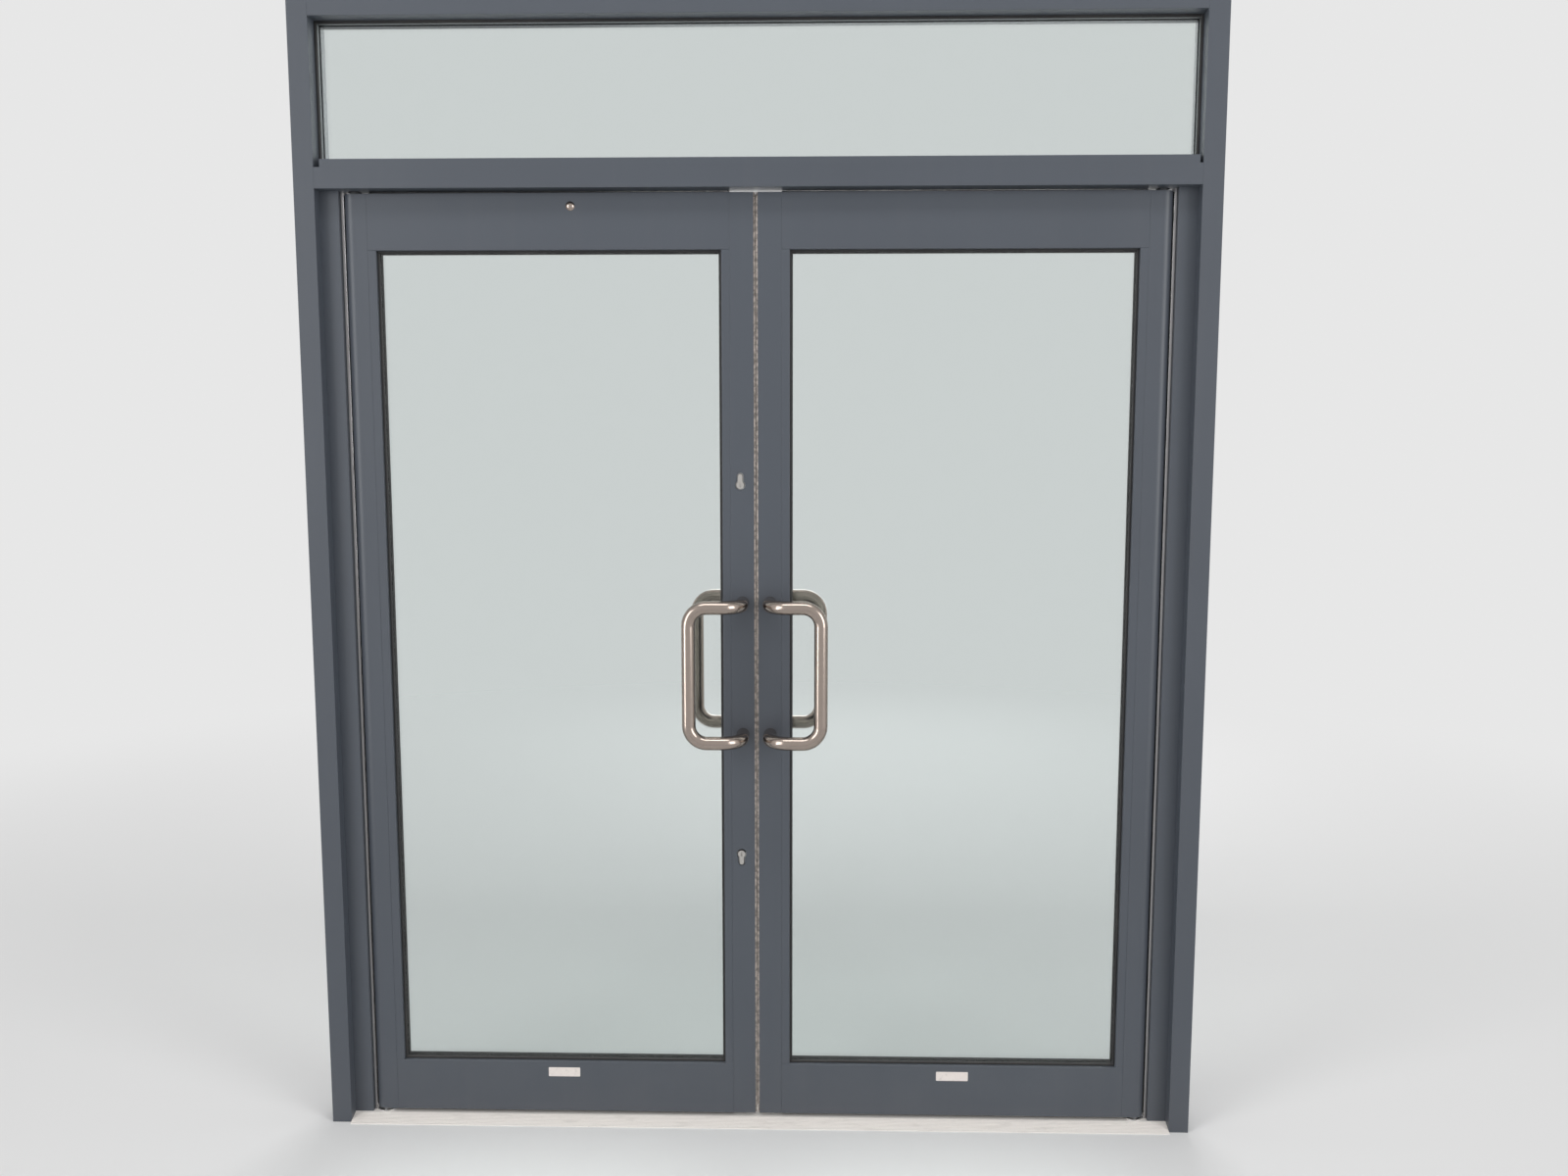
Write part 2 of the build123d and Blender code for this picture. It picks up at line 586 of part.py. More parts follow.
def brush_piles():
    """Pile strips at the meeting edge, the nose, the head and the foot of a leaf."""
    meeting = both_sides(pile_section((EDGE_X, MEETING_PILE_OFFSET), 0, EDGE_X - PILE_TIP_GAP))
    nose = pile_section((NOSE_X, 0), 180, GUARD_CLEARANCE - PILE_TIP_GAP)
    strips = [upright(face, LEAF_BOTTOM, LEAF_TOP) for face in meeting.faces()]
    strips.append(upright(nose, LEAF_BOTTOM, LEAF_TOP))
    above = pile_section((0, LEAF_TOP), -90, TOP_GAP - PILE_TIP_GAP)
    below = pile_section((0, LEAF_BOTTOM), 90, LEAF_BOTTOM - THRESHOLD_HEIGHT - PILE_TIP_GAP)
    strips.append(crosswise(above, RAIL_X, STILE_X))
    strips.append(crosswise(below, RAIL_X, STILE_X))
    return strips


# Pivots and closers

def stile_block(z0, z1):
    """Block that fills the hinge stile's hollow, clear of its curved wall."""
    inner = LEAF_HALF - LEAF_WALL - SEAT_CLEARANCE
    nose = Pos(PIVOT_X, 0) * Circle(inner)
    straight = rect(STILE_X + LEAF_WALL, PIVOT_X, -inner, inner)
    slot_room = NOSE_X - SLOT_LIP - PILE_BACK_THICKNESS - 2 * LEAF_WALL
    section = (nose + straight) & rect(STILE_X, slot_room, -LEAF_HALF, LEAF_HALF)
    return upright(section, z0, z1)


def pivot_shoe():
    """Bottom shoe of a leaf, bored to turn on the floor pivot's pin."""
    shoe = stile_block(LEAF_BOTTOM, LEAF_BOTTOM + SHOE_HEIGHT)
    depth = THRESHOLD_HEIGHT + PIVOT_PIN_HEIGHT + PIVOT_BORE_RELIEF - LEAF_BOTTOM
    bore = rod(PIVOT_PIN_RADIUS + RUNNING_CLEARANCE, (PIVOT_X, 0, LEAF_BOTTOM), (0, 0, 1), depth)
    return shoe - bore


def floor_pivot():
    """Floor pivot on the threshold: round base, thrust boss and pin."""
    z = THRESHOLD_HEIGHT
    base = rod(PIVOT_BASE_RADIUS, (PIVOT_X, 0, z), (0, 0, 1), PIVOT_BASE_THICKNESS)
    boss = rod(PIVOT_BOSS_RADIUS, (PIVOT_X, 0, z), (0, 0, 1), LEAF_BOTTOM - z - SEAT_CLEARANCE)
    pin = rod(PIVOT_PIN_RADIUS, (PIVOT_X, 0, z), (0, 0, 1), PIVOT_PIN_HEIGHT)
    return base + boss + chamfer(pin.edges().sort_by(Axis.Z)[-1], PIVOT_PIN_CHAMFER)


def closer():
    """Body of a transom closer, lying on the transom's bottom wall."""
    x1 = PIVOT_X + CLOSER_NOSE
    z0 = TRANSOM_UNDERSIDE + FRAME_WALL
    body = slab(x1 - CLOSER_LENGTH, x1, -CLOSER_DEPTH / 2, CLOSER_DEPTH / 2, z0, z0 + CLOSER_HEIGHT)
    body = fillet(body.edges().filter_by(Axis.Z), CLOSER_CORNER)
    depth = SPINDLE_ENGAGEMENT + PIVOT_BORE_RELIEF
    return body - rod(SPINDLE_RADIUS + RUNNING_CLEARANCE, (PIVOT_X, 0, z0), (0, 0, 1), depth)


def closer_arm():
    """Block in the head of the hinge stile, with the spindle that the closer turns."""
    block = stile_block(LEAF_TOP - ARM_BLOCK_HEIGHT, LEAF_TOP)
    reach = TOP_GAP + FRAME_WALL + SPINDLE_ENGAGEMENT
    return block + rod(SPINDLE_RADIUS, (PIVOT_X, 0, LEAF_TOP), (0, 0, 1), reach)


# Pull handles

def outside_handle():
    """Cranked pull handle, bent from one round bar."""
    near, far = -LEAF_HALF, -LEAF_HALF - HANDLE_DEPTH
    x0, x1 = HANDLE_X, HANDLE_X + HANDLE_OFFSET
    route = [(x0, near, HANDLE_HIGH), (x0, far, HANDLE_HIGH), (x1, far, HANDLE_HIGH),
             (x1, far, HANDLE_LOW), (x0, far, HANDLE_LOW), (x0, near, HANDLE_LOW)]
    radii = [HANDLE_CRANK_RADIUS, HANDLE_CORNER_RADIUS, HANDLE_CORNER_RADIUS, HANDLE_CRANK_RADIUS]
    path = FilletPolyline(*route, radius=radii)
    bar = sweep(Plane(origin=route[0], z_dir=(0, -1, 0)) * Circle(HANDLE_RADIUS), path=path)
    depth = HANDLE_BOLT_DEPTH + HANDLE_BOLT_END_ROOM
    for z in (HANDLE_LOW, HANDLE_HIGH):
        bar -= rod(HANDLE_BOLT_RADIUS + RUNNING_CLEARANCE, (x0, near, z), (0, -1, 0), depth)
    return bar


def inside_handle():
    """Twin of the outside handle, back to back with it."""
    return mirror(outside_handle(), about=Plane.XZ)


def handle_bolts():
    """Through bolts that clamp a pair of handles to the meeting stile."""
    reach = LEAF_HALF + HANDLE_BOLT_DEPTH
    return [rod(HANDLE_BOLT_RADIUS, (HANDLE_X, -reach, z), (0, 1, 0), 2 * reach)
            for z in (HANDLE_LOW, HANDLE_HIGH)]


# Locks. Each is drawn at the origin of its plug's axis, with the cylinder's foot
# downwards and the bolt above; X is measured from the leaf's meeting edge.

def placed_lock(piece, height, inverted):
    """A lock piece put in the left-hand leaf, turned over for the upper lock."""
    if inverted:
        piece = mirror(piece, about=Plane.XY)
    return to_left(Pos(0, 0, height) * piece)


def cylinder_profile(margin):
    """Key-hole outline of a profile cylinder, seen from the front."""
    foot = CYLINDER_ROUND_RADIUS - CYLINDER_HEIGHT + CYLINDER_FOOT_RADIUS
    outline = Circle(CYLINDER_ROUND_RADIUS + margin)
    outline += Pos(0, foot) * Circle(CYLINDER_FOOT_RADIUS + margin)
    half = CYLINDER_FOOT_RADIUS + margin
    return outline + rect(-half, half, foot, 0)


def through_leaf(section, half_depth):
    """Extrusion of a front-view section about the lock axis, through the leaf."""
    plane = Plane(origin=(LOCK_X, half_depth, 0), x_dir=(1, 0, 0), z_dir=(0, -1, 0))
    return extrude(plane * section, amount=2 * half_depth)


def lock_cylinder():
    """Housing of the profile cylinder, notched in the middle for the cam."""
    half = LEAF_HALF + CYLINDER_REACH
    body = through_leaf(cylinder_profile(0), half)
    body -= through_leaf(Circle(PLUG_RADIUS + RUNNING_CLEARANCE), half + CUT)
    return body - through_leaf(Circle(CAM_NOTCH_RADIUS), CAM_NOTCH_WIDTH / 2)


def lock_plug():
    """Plug of the cylinder, turned by the key, with the cam at its middle."""
    half = LEAF_HALF + CYLINDER_REACH
    plug = through_leaf(Circle(PLUG_RADIUS), half)
    lobe = rect(-CAM_LOBE_WIDTH / 2, CAM_LOBE_WIDTH / 2, -CAM_RADIUS, 0) & Circle(CAM_RADIUS)
    plug += through_leaf(Circle(CAM_HUB_RADIUS) + lobe, CAM_WIDTH / 2)
    keyway = rect(-KEYWAY_WIDTH / 2, KEYWAY_WIDTH / 2, -KEYWAY_HEIGHT / 2, KEYWAY_HEIGHT / 2)
    core = through_leaf(Circle(PLUG_RADIUS), half - KEYWAY_DEPTH)
    return plug - (through_leaf(keyway, half + CUT) - core)


def lock_bolt():
    """Flat dead bolt, drawn back flush with the forend."""
    x0 = EDGE_X + BOLT_RECESS
    half = BOLT_THICKNESS / 2
    return slab(x0, x0 + BOLT_LENGTH, -half, half, BOLT_RISE, BOLT_RISE + BOLT_HEIGHT)


def forend_blank():
    """Plate set into the leaf's edge, with round ends."""
    middle = (CASE_ABOVE - CASE_BELOW) / 2
    outline = Pos(0, middle) * SlotOverall(FOREND_LENGTH, FOREND_WIDTH, rotation=90)
    return crosswise(outline, EDGE_X, EDGE_X + FOREND_THICKNESS)


def bolt_way(x0, x1):
    """Room that the dead bolt slides through."""
    c = BOLT_CLEARANCE
    half = BOLT_THICKNESS / 2 + c
    return slab(x0, x1, -half, half, BOLT_RISE - c, BOLT_RISE + BOLT_HEIGHT + c)


def lock_case():
    """Lock case with its forend, open for the cylinder and the bolt."""
    x0 = EDGE_X + FOREND_THICKNESS
    half, t = CASE_THICKNESS / 2, CASE_WALL
    case = slab(x0, x0 + CASE_DEPTH, -half, half, -CASE_BELOW, CASE_ABOVE)
    case -= slab(x0 + t, x0 + CASE_DEPTH - t, -half + t, half - t, -CASE_BELOW + t, CASE_ABOVE - t)
    case += forend_blank()
    case -= through_leaf(cylinder_profile(SEAT_CLEARANCE), half + CUT)
    return case - bolt_way(EDGE_X - CUT, x0 + t + CUT)


def lock_keep():
    """Striking plate on the other leaf's edge, slotted for the bolt."""
    middle = BOLT_RISE + BOLT_HEIGHT / 2
    outline = Pos(0, middle) * SlotOverall(KEEP_LENGTH, FOREND_WIDTH, rotation=90)
    plate = crosswise(outline, EDGE_X - KEEP_THICKNESS, EDGE_X)
    return plate - bolt_way(EDGE_X - KEEP_THICKNESS - CUT, EDGE_X + CUT)


def keep_cut():
    """Hole behind a keep, in the edge wall of the meeting stile."""
    return bolt_way(EDGE_X - CUT, EDGE_X + LEAF_WALL + CUT)


def lock_cut():
    """Holes for one lock in the meeting stile: forend, case and cylinder."""
    edge = forend_blank()
    half = CASE_THICKNESS / 2
    case = slab(EDGE_X - CUT, EDGE_X + LEAF_WALL + CUT, -half, half, -CASE_BELOW, CASE_ABOVE)
    cylinder = through_leaf(cylinder_profile(CYLINDER_HOLE_MARGIN), LEAF_HALF + CUT)
    return edge + case + cylinder


LOCKS = {"upper": (UPPER_LOCK_Z, True), "lower": (LOWER_LOCK_Z, False)}


def left_meeting_stile():
    """Left-hand meeting stile, cut for the two locks."""
    body = to_left(meeting_stile())
    for height, inverted in LOCKS.values():
        body -= placed_lock(lock_cut(), height, inverted)
    return body


def right_meeting_stile():
    """Right-hand meeting stile, cut for the two keeps."""
    body = meeting_stile()
    for height, inverted in LOCKS.values():
        body -= to_left(placed_lock(keep_cut(), height, inverted))
    return body


# Dome-headed stud on the left leaf's top rail

def stud():
    """Small dome-headed stud, its shank through the rail's outside wall."""
    place = Plane(origin=(-STUD_X, -LEAF_HALF, LEAF_TOP - STUD_DROP), z_dir=(0, -1, 0))
    dome_radius = (STUD_RADIUS ** 2 + STUD_HEIGHT ** 2) / (2 * STUD_HEIGHT)
    dome = RadiusArc((STUD_RADIUS, 0), (0, STUD_HEIGHT), -dome_radius)
    foot = Polyline((0, STUD_HEIGHT), (0, -STUD_SHANK_LENGTH), (STUD_SHANK_RADIUS, -STUD_SHANK_LENGTH),
                    (STUD_SHANK_RADIUS, 0), (STUD_RADIUS, 0))
    turned = make_face(Plane.XZ * (dome + foot))
    return place * revolve(turned, Axis.Z)


def left_top_rail():
    """Left-hand top rail, drilled for the stud."""
    hole = STUD_SHANK_RADIUS + RUNNING_CLEARANCE
    start = (-STUD_X, -LEAF_HALF, LEAF_TOP - STUD_DROP)
    return to_left(top_rail()) - bore(hole, start, (0, 1, 0), LEAF_WALL)


def group(pieces):
    """Separate solids that share one file."""
    return Compound(children=list(pieces))


def leaf_parts(side):
    """Every piece of one leaf, by its node's name."""
    turn = to_left if side == "left" else (lambda piece: piece)
    x0, x1, z0, z1 = leaf_glass_edges()
    nodes = {
        "hinge_stile": turn(hinge_stile()),
        "meeting_stile": left_meeting_stile() if side == "left" else right_meeting_stile(),
        "top_rail": left_top_rail() if side == "left" else top_rail(),
        "bottom_rail": turn(bottom_rail()),
        "glass_panes": group(turn(p) for p in glass_panes(x0, x1, z0, z1)),
        "glass_spacer": turn(spacer_bar(x0, x1, z0, z1)),
        "glazing_beads": group(turn(p) for p in glazing_beads()),
        "glazing_gaskets": group(turn(p) for p in leaf_gaskets()),
        "setting_blocks": group(turn(p) for p in setting_blocks(x0, x1, REBATE_LOW)),
        "brush_piles": group(turn(p) for p in brush_piles()),
        "outside_handle": turn(outside_handle()),
        "inside_handle": turn(inside_handle()),
        "handle_bolts": group(turn(p) for p in handle_bolts()),
        "pivot_shoe": turn(pivot_shoe()),
        "closer_arm": turn(closer_arm()),
    }
    return {f"{side}_{name}": piece for name, piece in nodes.items()}


def lock_parts():
    """Every piece of the two locks, by its node's name."""
    nodes = {}
    for name, (height, inverted) in LOCKS.items():
        nodes[f"{name}_lock_case"] = placed_lock(lock_case(), height, inverted)
        nodes[f"{name}_lock_cylinder"] = placed_lock(lock_cylinder(), height, inverted)
        nodes[f"{name}_lock_plug"] = placed_lock(lock_plug(), height, inverted)
        nodes[f"{name}_lock_bolt"] = placed_lock(lock_bolt(), height, inverted)
    nodes["lock_keeps"] = group(to_left(placed_lock(lock_keep(), height, inverted))
                                for height, inverted in LOCKS.values())
    return nodes


def frame_parts():
    """Every piece of the fixed frame, by its node's name."""
    nodes = {"head": head(), "transom": transom(), "threshold": threshold()}
    nodes["frame_screws"] = group(frame_screws())
    handed = {"mullion": mullion(), "door_jamb": door_jamb(), "finger_guard": finger_guard(),
              "closer": closer(), "floor_pivot": floor_pivot()}
    for name, piece in handed.items():
        nodes[f"right_{name}"] = piece
        nodes[f"left_{name}"] = to_left(piece)
    nodes["fanlight_panes"] = group(glass_panes(-FAN_SIDE, FAN_SIDE, FAN_LOW, FAN_HIGH))
    nodes["fanlight_spacer"] = spacer_bar(-FAN_SIDE, FAN_SIDE, FAN_LOW, FAN_HIGH)
    nodes["fanlight_bead"] = fanlight_bead()
    nodes["fanlight_gaskets"] = group(fanlight_gaskets())
    nodes["fanlight_setting_blocks"] = group(setting_blocks(-FAN_SIDE, FAN_SIDE, TRANSOM_TOP))
    return nodes


def main():
    """Build every node and write one file for each."""
    nodes = frame_parts() | leaf_parts("left") | leaf_parts("right") | lock_parts()
    nodes["top_rail_stud"] = stud()
    os.makedirs("parts", exist_ok=True)
    for name, piece in nodes.items():
        export_step(piece, f"parts/{name}.step")
    print(len(nodes), "nodes written")


main()
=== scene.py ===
import json
import math
from itertools import product

import bmesh
import bpy
from bpy.props import FloatProperty, FloatVectorProperty, IntProperty, PointerProperty
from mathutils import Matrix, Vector


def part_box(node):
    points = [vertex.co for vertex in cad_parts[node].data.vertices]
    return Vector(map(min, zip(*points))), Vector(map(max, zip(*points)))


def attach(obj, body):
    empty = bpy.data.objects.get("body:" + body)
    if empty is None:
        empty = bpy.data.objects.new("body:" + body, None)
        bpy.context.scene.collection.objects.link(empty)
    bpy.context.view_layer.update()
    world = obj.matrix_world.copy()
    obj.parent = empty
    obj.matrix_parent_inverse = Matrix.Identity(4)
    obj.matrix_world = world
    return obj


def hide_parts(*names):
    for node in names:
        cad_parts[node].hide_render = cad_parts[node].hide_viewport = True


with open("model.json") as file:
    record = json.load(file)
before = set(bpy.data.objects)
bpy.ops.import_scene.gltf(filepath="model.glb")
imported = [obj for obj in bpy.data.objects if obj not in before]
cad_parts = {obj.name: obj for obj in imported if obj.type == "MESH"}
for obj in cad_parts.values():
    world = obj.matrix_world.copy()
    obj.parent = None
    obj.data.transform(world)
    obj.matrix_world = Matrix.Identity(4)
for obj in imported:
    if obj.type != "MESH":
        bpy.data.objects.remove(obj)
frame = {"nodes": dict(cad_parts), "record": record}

# Finishes, pile bristles, small screws and label plates of a glazed entrance door,
# with its studio. Lengths are in metres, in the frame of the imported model.

bl_info = {
    "name": "Entrance Door Finishes",
    "version": (1, 0, 0),
    "blender": (4, 5, 0),
    "location": "View3D > Sidebar > Entrance Door",
    "description": "Dresses a packed glazed entrance door and sets it in a plain studio",
    "category": "Object",
}

SIDES = {"left": -1, "right": 1}

# Directions in the door's frame; across runs through its depth
LEFT = Vector((-1, 0, 0))
RIGHT = Vector((1, 0, 0))
UP = Vector((0, 0, 1))
DOWN = Vector((0, 0, -1))
ACROSS = Vector((0, 1, 0))

# Sockets that Blender numbers rather than names
MIX_SHARE, MIX_FIRST, MIX_SECOND, MIX_RESULT = 0, 6, 7, 2
RANDOM_LOW, RANDOM_HIGH, RANDOM_RESULT = 2, 3, 1

# Refraction of powder coat and of glass
COAT_IOR = 1.5
GLASS_IOR = 1.52

# Share of a lamp's light that each face of the glass lets through, faintly green
SHADOW_TINT = (0.93, 0.95, 0.94, 1.0)

# Depth of the relief that grinding, rolling and matting leave in metal
GROUND_DEPTH = 0.00002

# Tufts: sides, tip as a share of the root's radius, random lean and turn in radians,
# and random share of the full length
TUFT_SIDES = 4
TUFT_TIP = 0.62
TUFT_LEAN = 0.16
ANY_TURN = 3.0
TUFT_SHORTEST, TUFT_LONGEST = 0.96, 1.0

# Dense core and backing of a pile strip: half widths as shares of the strip's width,
# the core's height as a share of the tufts' and the backing's depth as a multiple of the roots'
CORE_HALF_WIDTH = 0.34
CORE_HEIGHT = 0.86
BACKING_HALF_WIDTH = 0.76
BACKING_DEPTH = 2.3

# Screw heads: sides, crown as a share of the radius, the cross recess's length and width as
# shares of the radius, and the level of its middle as a share of the height
SCREW_SIDES = 20
SCREW_CROWN = 0.86
RECESS_LENGTH = 1.15
RECESS_WIDTH = 0.24
RECESS_LEVEL = 0.95


# Settings

def colour_property(name, description, default):
    """Colour setting of three linear values."""
    return FloatVectorProperty(name=name, description=description, default=default,
                               subtype="COLOR", size=3, min=0.0, max=1.0)


def length_property(name, description, default):
    """Length setting in metres."""
    return FloatProperty(name=name, description=description, default=default,
                         subtype="DISTANCE", unit="LENGTH", min=0.0, precision=5)


def share_property(name, description, default):
    """Setting between none and all."""
    return FloatProperty(name=name, description=description, default=default,
                         subtype="FACTOR", min=0.0, max=1.0)


def power_property(name, description, default):
    """Power setting in watts."""
    return FloatProperty(name=name, description=description, default=default, unit="POWER", min=0.0)


def angle_property(name, description, degrees):
    """Angle setting, written here in degrees and kept in radians."""
    return FloatProperty(name=name, description=description, default=math.radians(degrees),
                         subtype="ANGLE", unit="ROTATION")


class DoorFinishSettings(bpy.types.PropertyGroup):
    """Colours and sheens of the door's finishes"""

    coat: colour_property("Powder coat", "Colour of the coated aluminium", (0.070, 0.080, 0.0975))
    coat_sheen: share_property("Coat roughness", "Roughness of the powder coat", 0.40)
    dust: colour_property("Dust", "Colour of the dust on coat and seals", (0.30, 0.275, 0.25))
    dust_height: length_property("Dust height", "How high splashes reach up the door", 0.30)
    steel: colour_property("Ground steel", "Colour of the pull handles", (0.370, 0.310, 0.272))
    steel_sheen: share_property("Steel roughness", "Roughness of the pull handles", 0.17)
    # Painted light: a pale, warm copy of the silver anodised finish, brighter than the guards' copy,
    # standing for strong light falling on the threshold
    anodised: colour_property("Anodised threshold", "Colour of the threshold", (0.95, 0.91, 0.87))
    # Painted shade: a darker copy of the same silver anodised finish as the threshold, standing for the
    # shade in the guards' recesses
    guard: colour_property("Finger guards", "Colour of the concave guards", (0.37, 0.365, 0.37))
    plating: colour_property("Plating", "Colour of the plated steel", (0.60, 0.61, 0.63))
    nickel: colour_property("Nickel", "Colour of the lock cylinders", (0.53, 0.51, 0.485))
    casting: colour_property("Castings", "Colour of closers, shoes and arm blocks", (0.10, 0.105, 0.11))
    rubber: colour_property("Rubber", "Colour of the glazing gaskets", (0.014, 0.014, 0.015))
    plastic: colour_property("Plastic", "Colour of the setting blocks", (0.025, 0.025, 0.027))
    spacer: colour_property("Spacer", "Colour of the spacers between the panes", (0.36, 0.37, 0.38))
    glass: colour_property("Glass", "Tint of each pane", (0.85, 0.88, 0.875))
    fibre: colour_property("Pile", "Colour of the pile in the meeting edges", (0.50, 0.44, 0.40))
    # Painted shade: the same pile away from the meeting edges, darkened to stand for the shade in the gaps
    # at the head, the hinge stiles and the foot
    painted_shade_fibre: colour_property("Dark pile", "Colour of the pile elsewhere", (0.02, 0.02, 0.021))
    foil: colour_property("Label plates", "Colour of the bare label plates", (0.84, 0.77, 0.73))


class DoorTrimSettings(bpy.types.PropertyGroup):
    """Sizes of bristles, screws and label plates"""

    tuft_pitch: length_property("Tuft pitch", "Distance between bristle tufts along a strip", 0.0026)
    tuft_radius: length_property("Tuft radius", "Radius of one tuft at its root", 0.00095)
    pile_width: length_property("Pile width", "Width of a pile strip", 0.0042)
    pile_root: length_property("Pile root", "How deep the tufts start inside the slot", 0.0010)
    pile_touch: length_property("Pile touch", "Length of the head tufts past the plain strip", 0.0004)
    pile_offset: length_property("Pile offset", "Meeting strips' distance from mid leaf", 0.0155)
    screw_radius: length_property("Screw radius", "Radius of a small screw head", 0.0032)
    screw_height: length_property("Screw height", "How proud a small screw head stands", 0.0006)
    plate_width: length_property("Plate width", "Width of a label plate", 0.074)
    plate_height: length_property("Plate height", "Height of a label plate", 0.022)
    plate_thickness: length_property("Plate thickness", "Thickness of a label plate", 0.0006)
    plate_centre: length_property("Plate centre", "Plates' distance from the door's middle", 0.453)
    plate_level: length_property("Plate level", "Height of the plates' middle above the floor", 0.115)
    seed: IntProperty(name="Seed", description="Seed of the turns of tufts and screws",
                      default=7, min=0)


class DoorStudioSettings(bpy.types.PropertyGroup):
    """Backdrop, lamps and camera"""

    backdrop: colour_property("Backdrop", "Colour behind the door and of the floor", (0.80, 0.80, 0.80))
    ambient: share_property("Ambient", "Strength of the light from all round", 0.42)
    key_power: power_property("Key lamp", "Power of the lamp at the front left", 132.0)
    fill_power: power_property("Fill lamp", "Power of the lamp at the front right", 142.0)
    strip_power: power_property("Strip lamp", "Power of the narrow beam on the handles", 0.60)
    top_power: power_property("Top lamp", "Power of the lamp above the door", 60.0)
    back_power: power_property("Back lamp", "Power of the lamp behind the door", 180.0)
    camera_place: FloatVectorProperty(name="Camera place", description="Where the camera stands",
                                      default=(0.1309, -2.8523, 1.5852), subtype="TRANSLATION",
                                      unit="LENGTH", size=3)
    camera_turn: angle_property("Camera turn", "How far it looks to the left of straight ahead", 1.395)
    camera_tilt: angle_property("Camera tilt", "How far it looks down", 6.575)
    lens: FloatProperty(name="Lens", description="Focal length for a sensor 36 mm wide",
                        default=29.295, min=1.0)


# Node trees

class Wire:
    """An output of a node. Arithmetic on it adds Math nodes to the same tree."""

    def __init__(self, bench, socket):
        self.bench = bench
        self.socket = socket

    def maths(self, operation, first, second):
        """Result of one Math node."""
        return self.bench.node("ShaderNodeMath", {"operation": operation}, {0: first, 1: second})[0]

    def __add__(self, other):
        return self.maths("ADD", self, other)

    def __sub__(self, other):
        return self.maths("SUBTRACT", self, other)

    def __rsub__(self, other):
        return self.maths("SUBTRACT", other, self)

    def __mul__(self, other):
        return self.maths("MULTIPLY", self, other)

    __radd__ = __add__
    __rmul__ = __mul__


class Placed:
    """A node that stands in a tree, indexed by its outputs."""

    def __init__(self, bench, raw):
        self.bench = bench
        self.raw = raw

    def __getitem__(self, key):
        return Wire(self.bench, self.raw.outputs[key])


class Bench:
    """A node tree in the making."""

    def __init__(self, tree):
        self.tree = tree
        tree.nodes.clear()

    def node(self, kind, settings=None, sockets=None):
        """New node: its settings first, then the values or links of its sockets."""
        raw = self.tree.nodes.new(kind)
        for key, value in (settings or {}).items():
            setattr(raw, key, value)
        for key, value in (sockets or {}).items():
            if isinstance(value, Wire):
                self.tree.links.new(value.socket, raw.inputs[key])
            else:
                raw.inputs[key].default_value = value
        return Placed(self, raw)


class Paint(Bench):
    """A material in the making, with patterns on the object's own coordinates."""

    def __init__(self, name):
        self.material = bpy.data.materials.new(name)
        self.material.use_nodes = True
        super().__init__(self.material.node_tree)
        self.place = self.node("ShaderNodeTexCoord")["Object"]

    def axis(self, name):
        """Distance along one axis."""
        return self.node("ShaderNodeSeparateXYZ", sockets={0: self.place})[name]

    def off_middle(self, name):
        """Distance from the door's middle along one axis, either way."""
        return self.node("ShaderNodeMath", {"operation": "ABSOLUTE"}, {0: self.axis(name)})[0]

    def noise(self, scale, detail=2.0, stretch=(1.0, 1.0, 1.0)):
        """Soft noise; a larger stretch packs the pattern closer along that axis."""
        place = self.node("ShaderNodeVectorMath", {"operation": "MULTIPLY"},
                          {0: self.place, 1: stretch})[0]
        sockets = {"Vector": place, "Scale": scale, "Detail": detail}
        return self.node("ShaderNodeTexNoise", {}, sockets)["Fac"]

    def rise(self, value, low, high):
        """Eased step from 0 at the low value to 1 at the high one."""
        limits = {"Value": value, "From Min": low, "From Max": high}
        return self.node("ShaderNodeMapRange", {"interpolation_type": "SMOOTHSTEP"}, limits)["Result"]

    def near_floor(self, low, high):
        """Eased fall from 1 at the low level above the floor to 0 at the high one."""
        return 1.0 - self.rise(self.axis("Z"), low, high)

    def shade(self, colour, amount):
        """A colour made lighter or darker."""
        return self.node("ShaderNodeVectorMath", {"operation": "SCALE"}, {0: colour, "Scale": amount})[0]

    def blend(self, share, first, second):
        """Colour between two others."""
        sockets = {MIX_SHARE: share}
        for key, colour in ((MIX_FIRST, first), (MIX_SECOND, second)):
            sockets[key] = colour if isinstance(colour, Wire) else (*colour, 1.0)
        return self.node("ShaderNodeMix", {"data_type": "RGBA"}, sockets)[MIX_RESULT]

    def relief(self, height, depth, strength=1.0):
        """Normal of a surface with a fine relief."""
        sockets = {"Height": height, "Distance": depth, "Strength": strength}
        return self.node("ShaderNodeBump", {}, sockets)["Normal"]

    def principled(self, sockets):
        """Shader of a surface with the given sockets."""
        return self.node("ShaderNodeBsdfPrincipled", {}, sockets)[0]

    def finished(self, shader):
        """The material, with its shader joined to the output."""
        self.node("ShaderNodeOutputMaterial", {}, {"Surface": shader})
        return self.material

    def surface(self, sockets):
        """The material, as one surface with the given sockets."""
        return self.finished(self.principled(sockets))


def between(low, high, share):
    """Value that goes from low to high while the share goes from 0 to 1."""
    return low + share * (high - low)


# Finishes

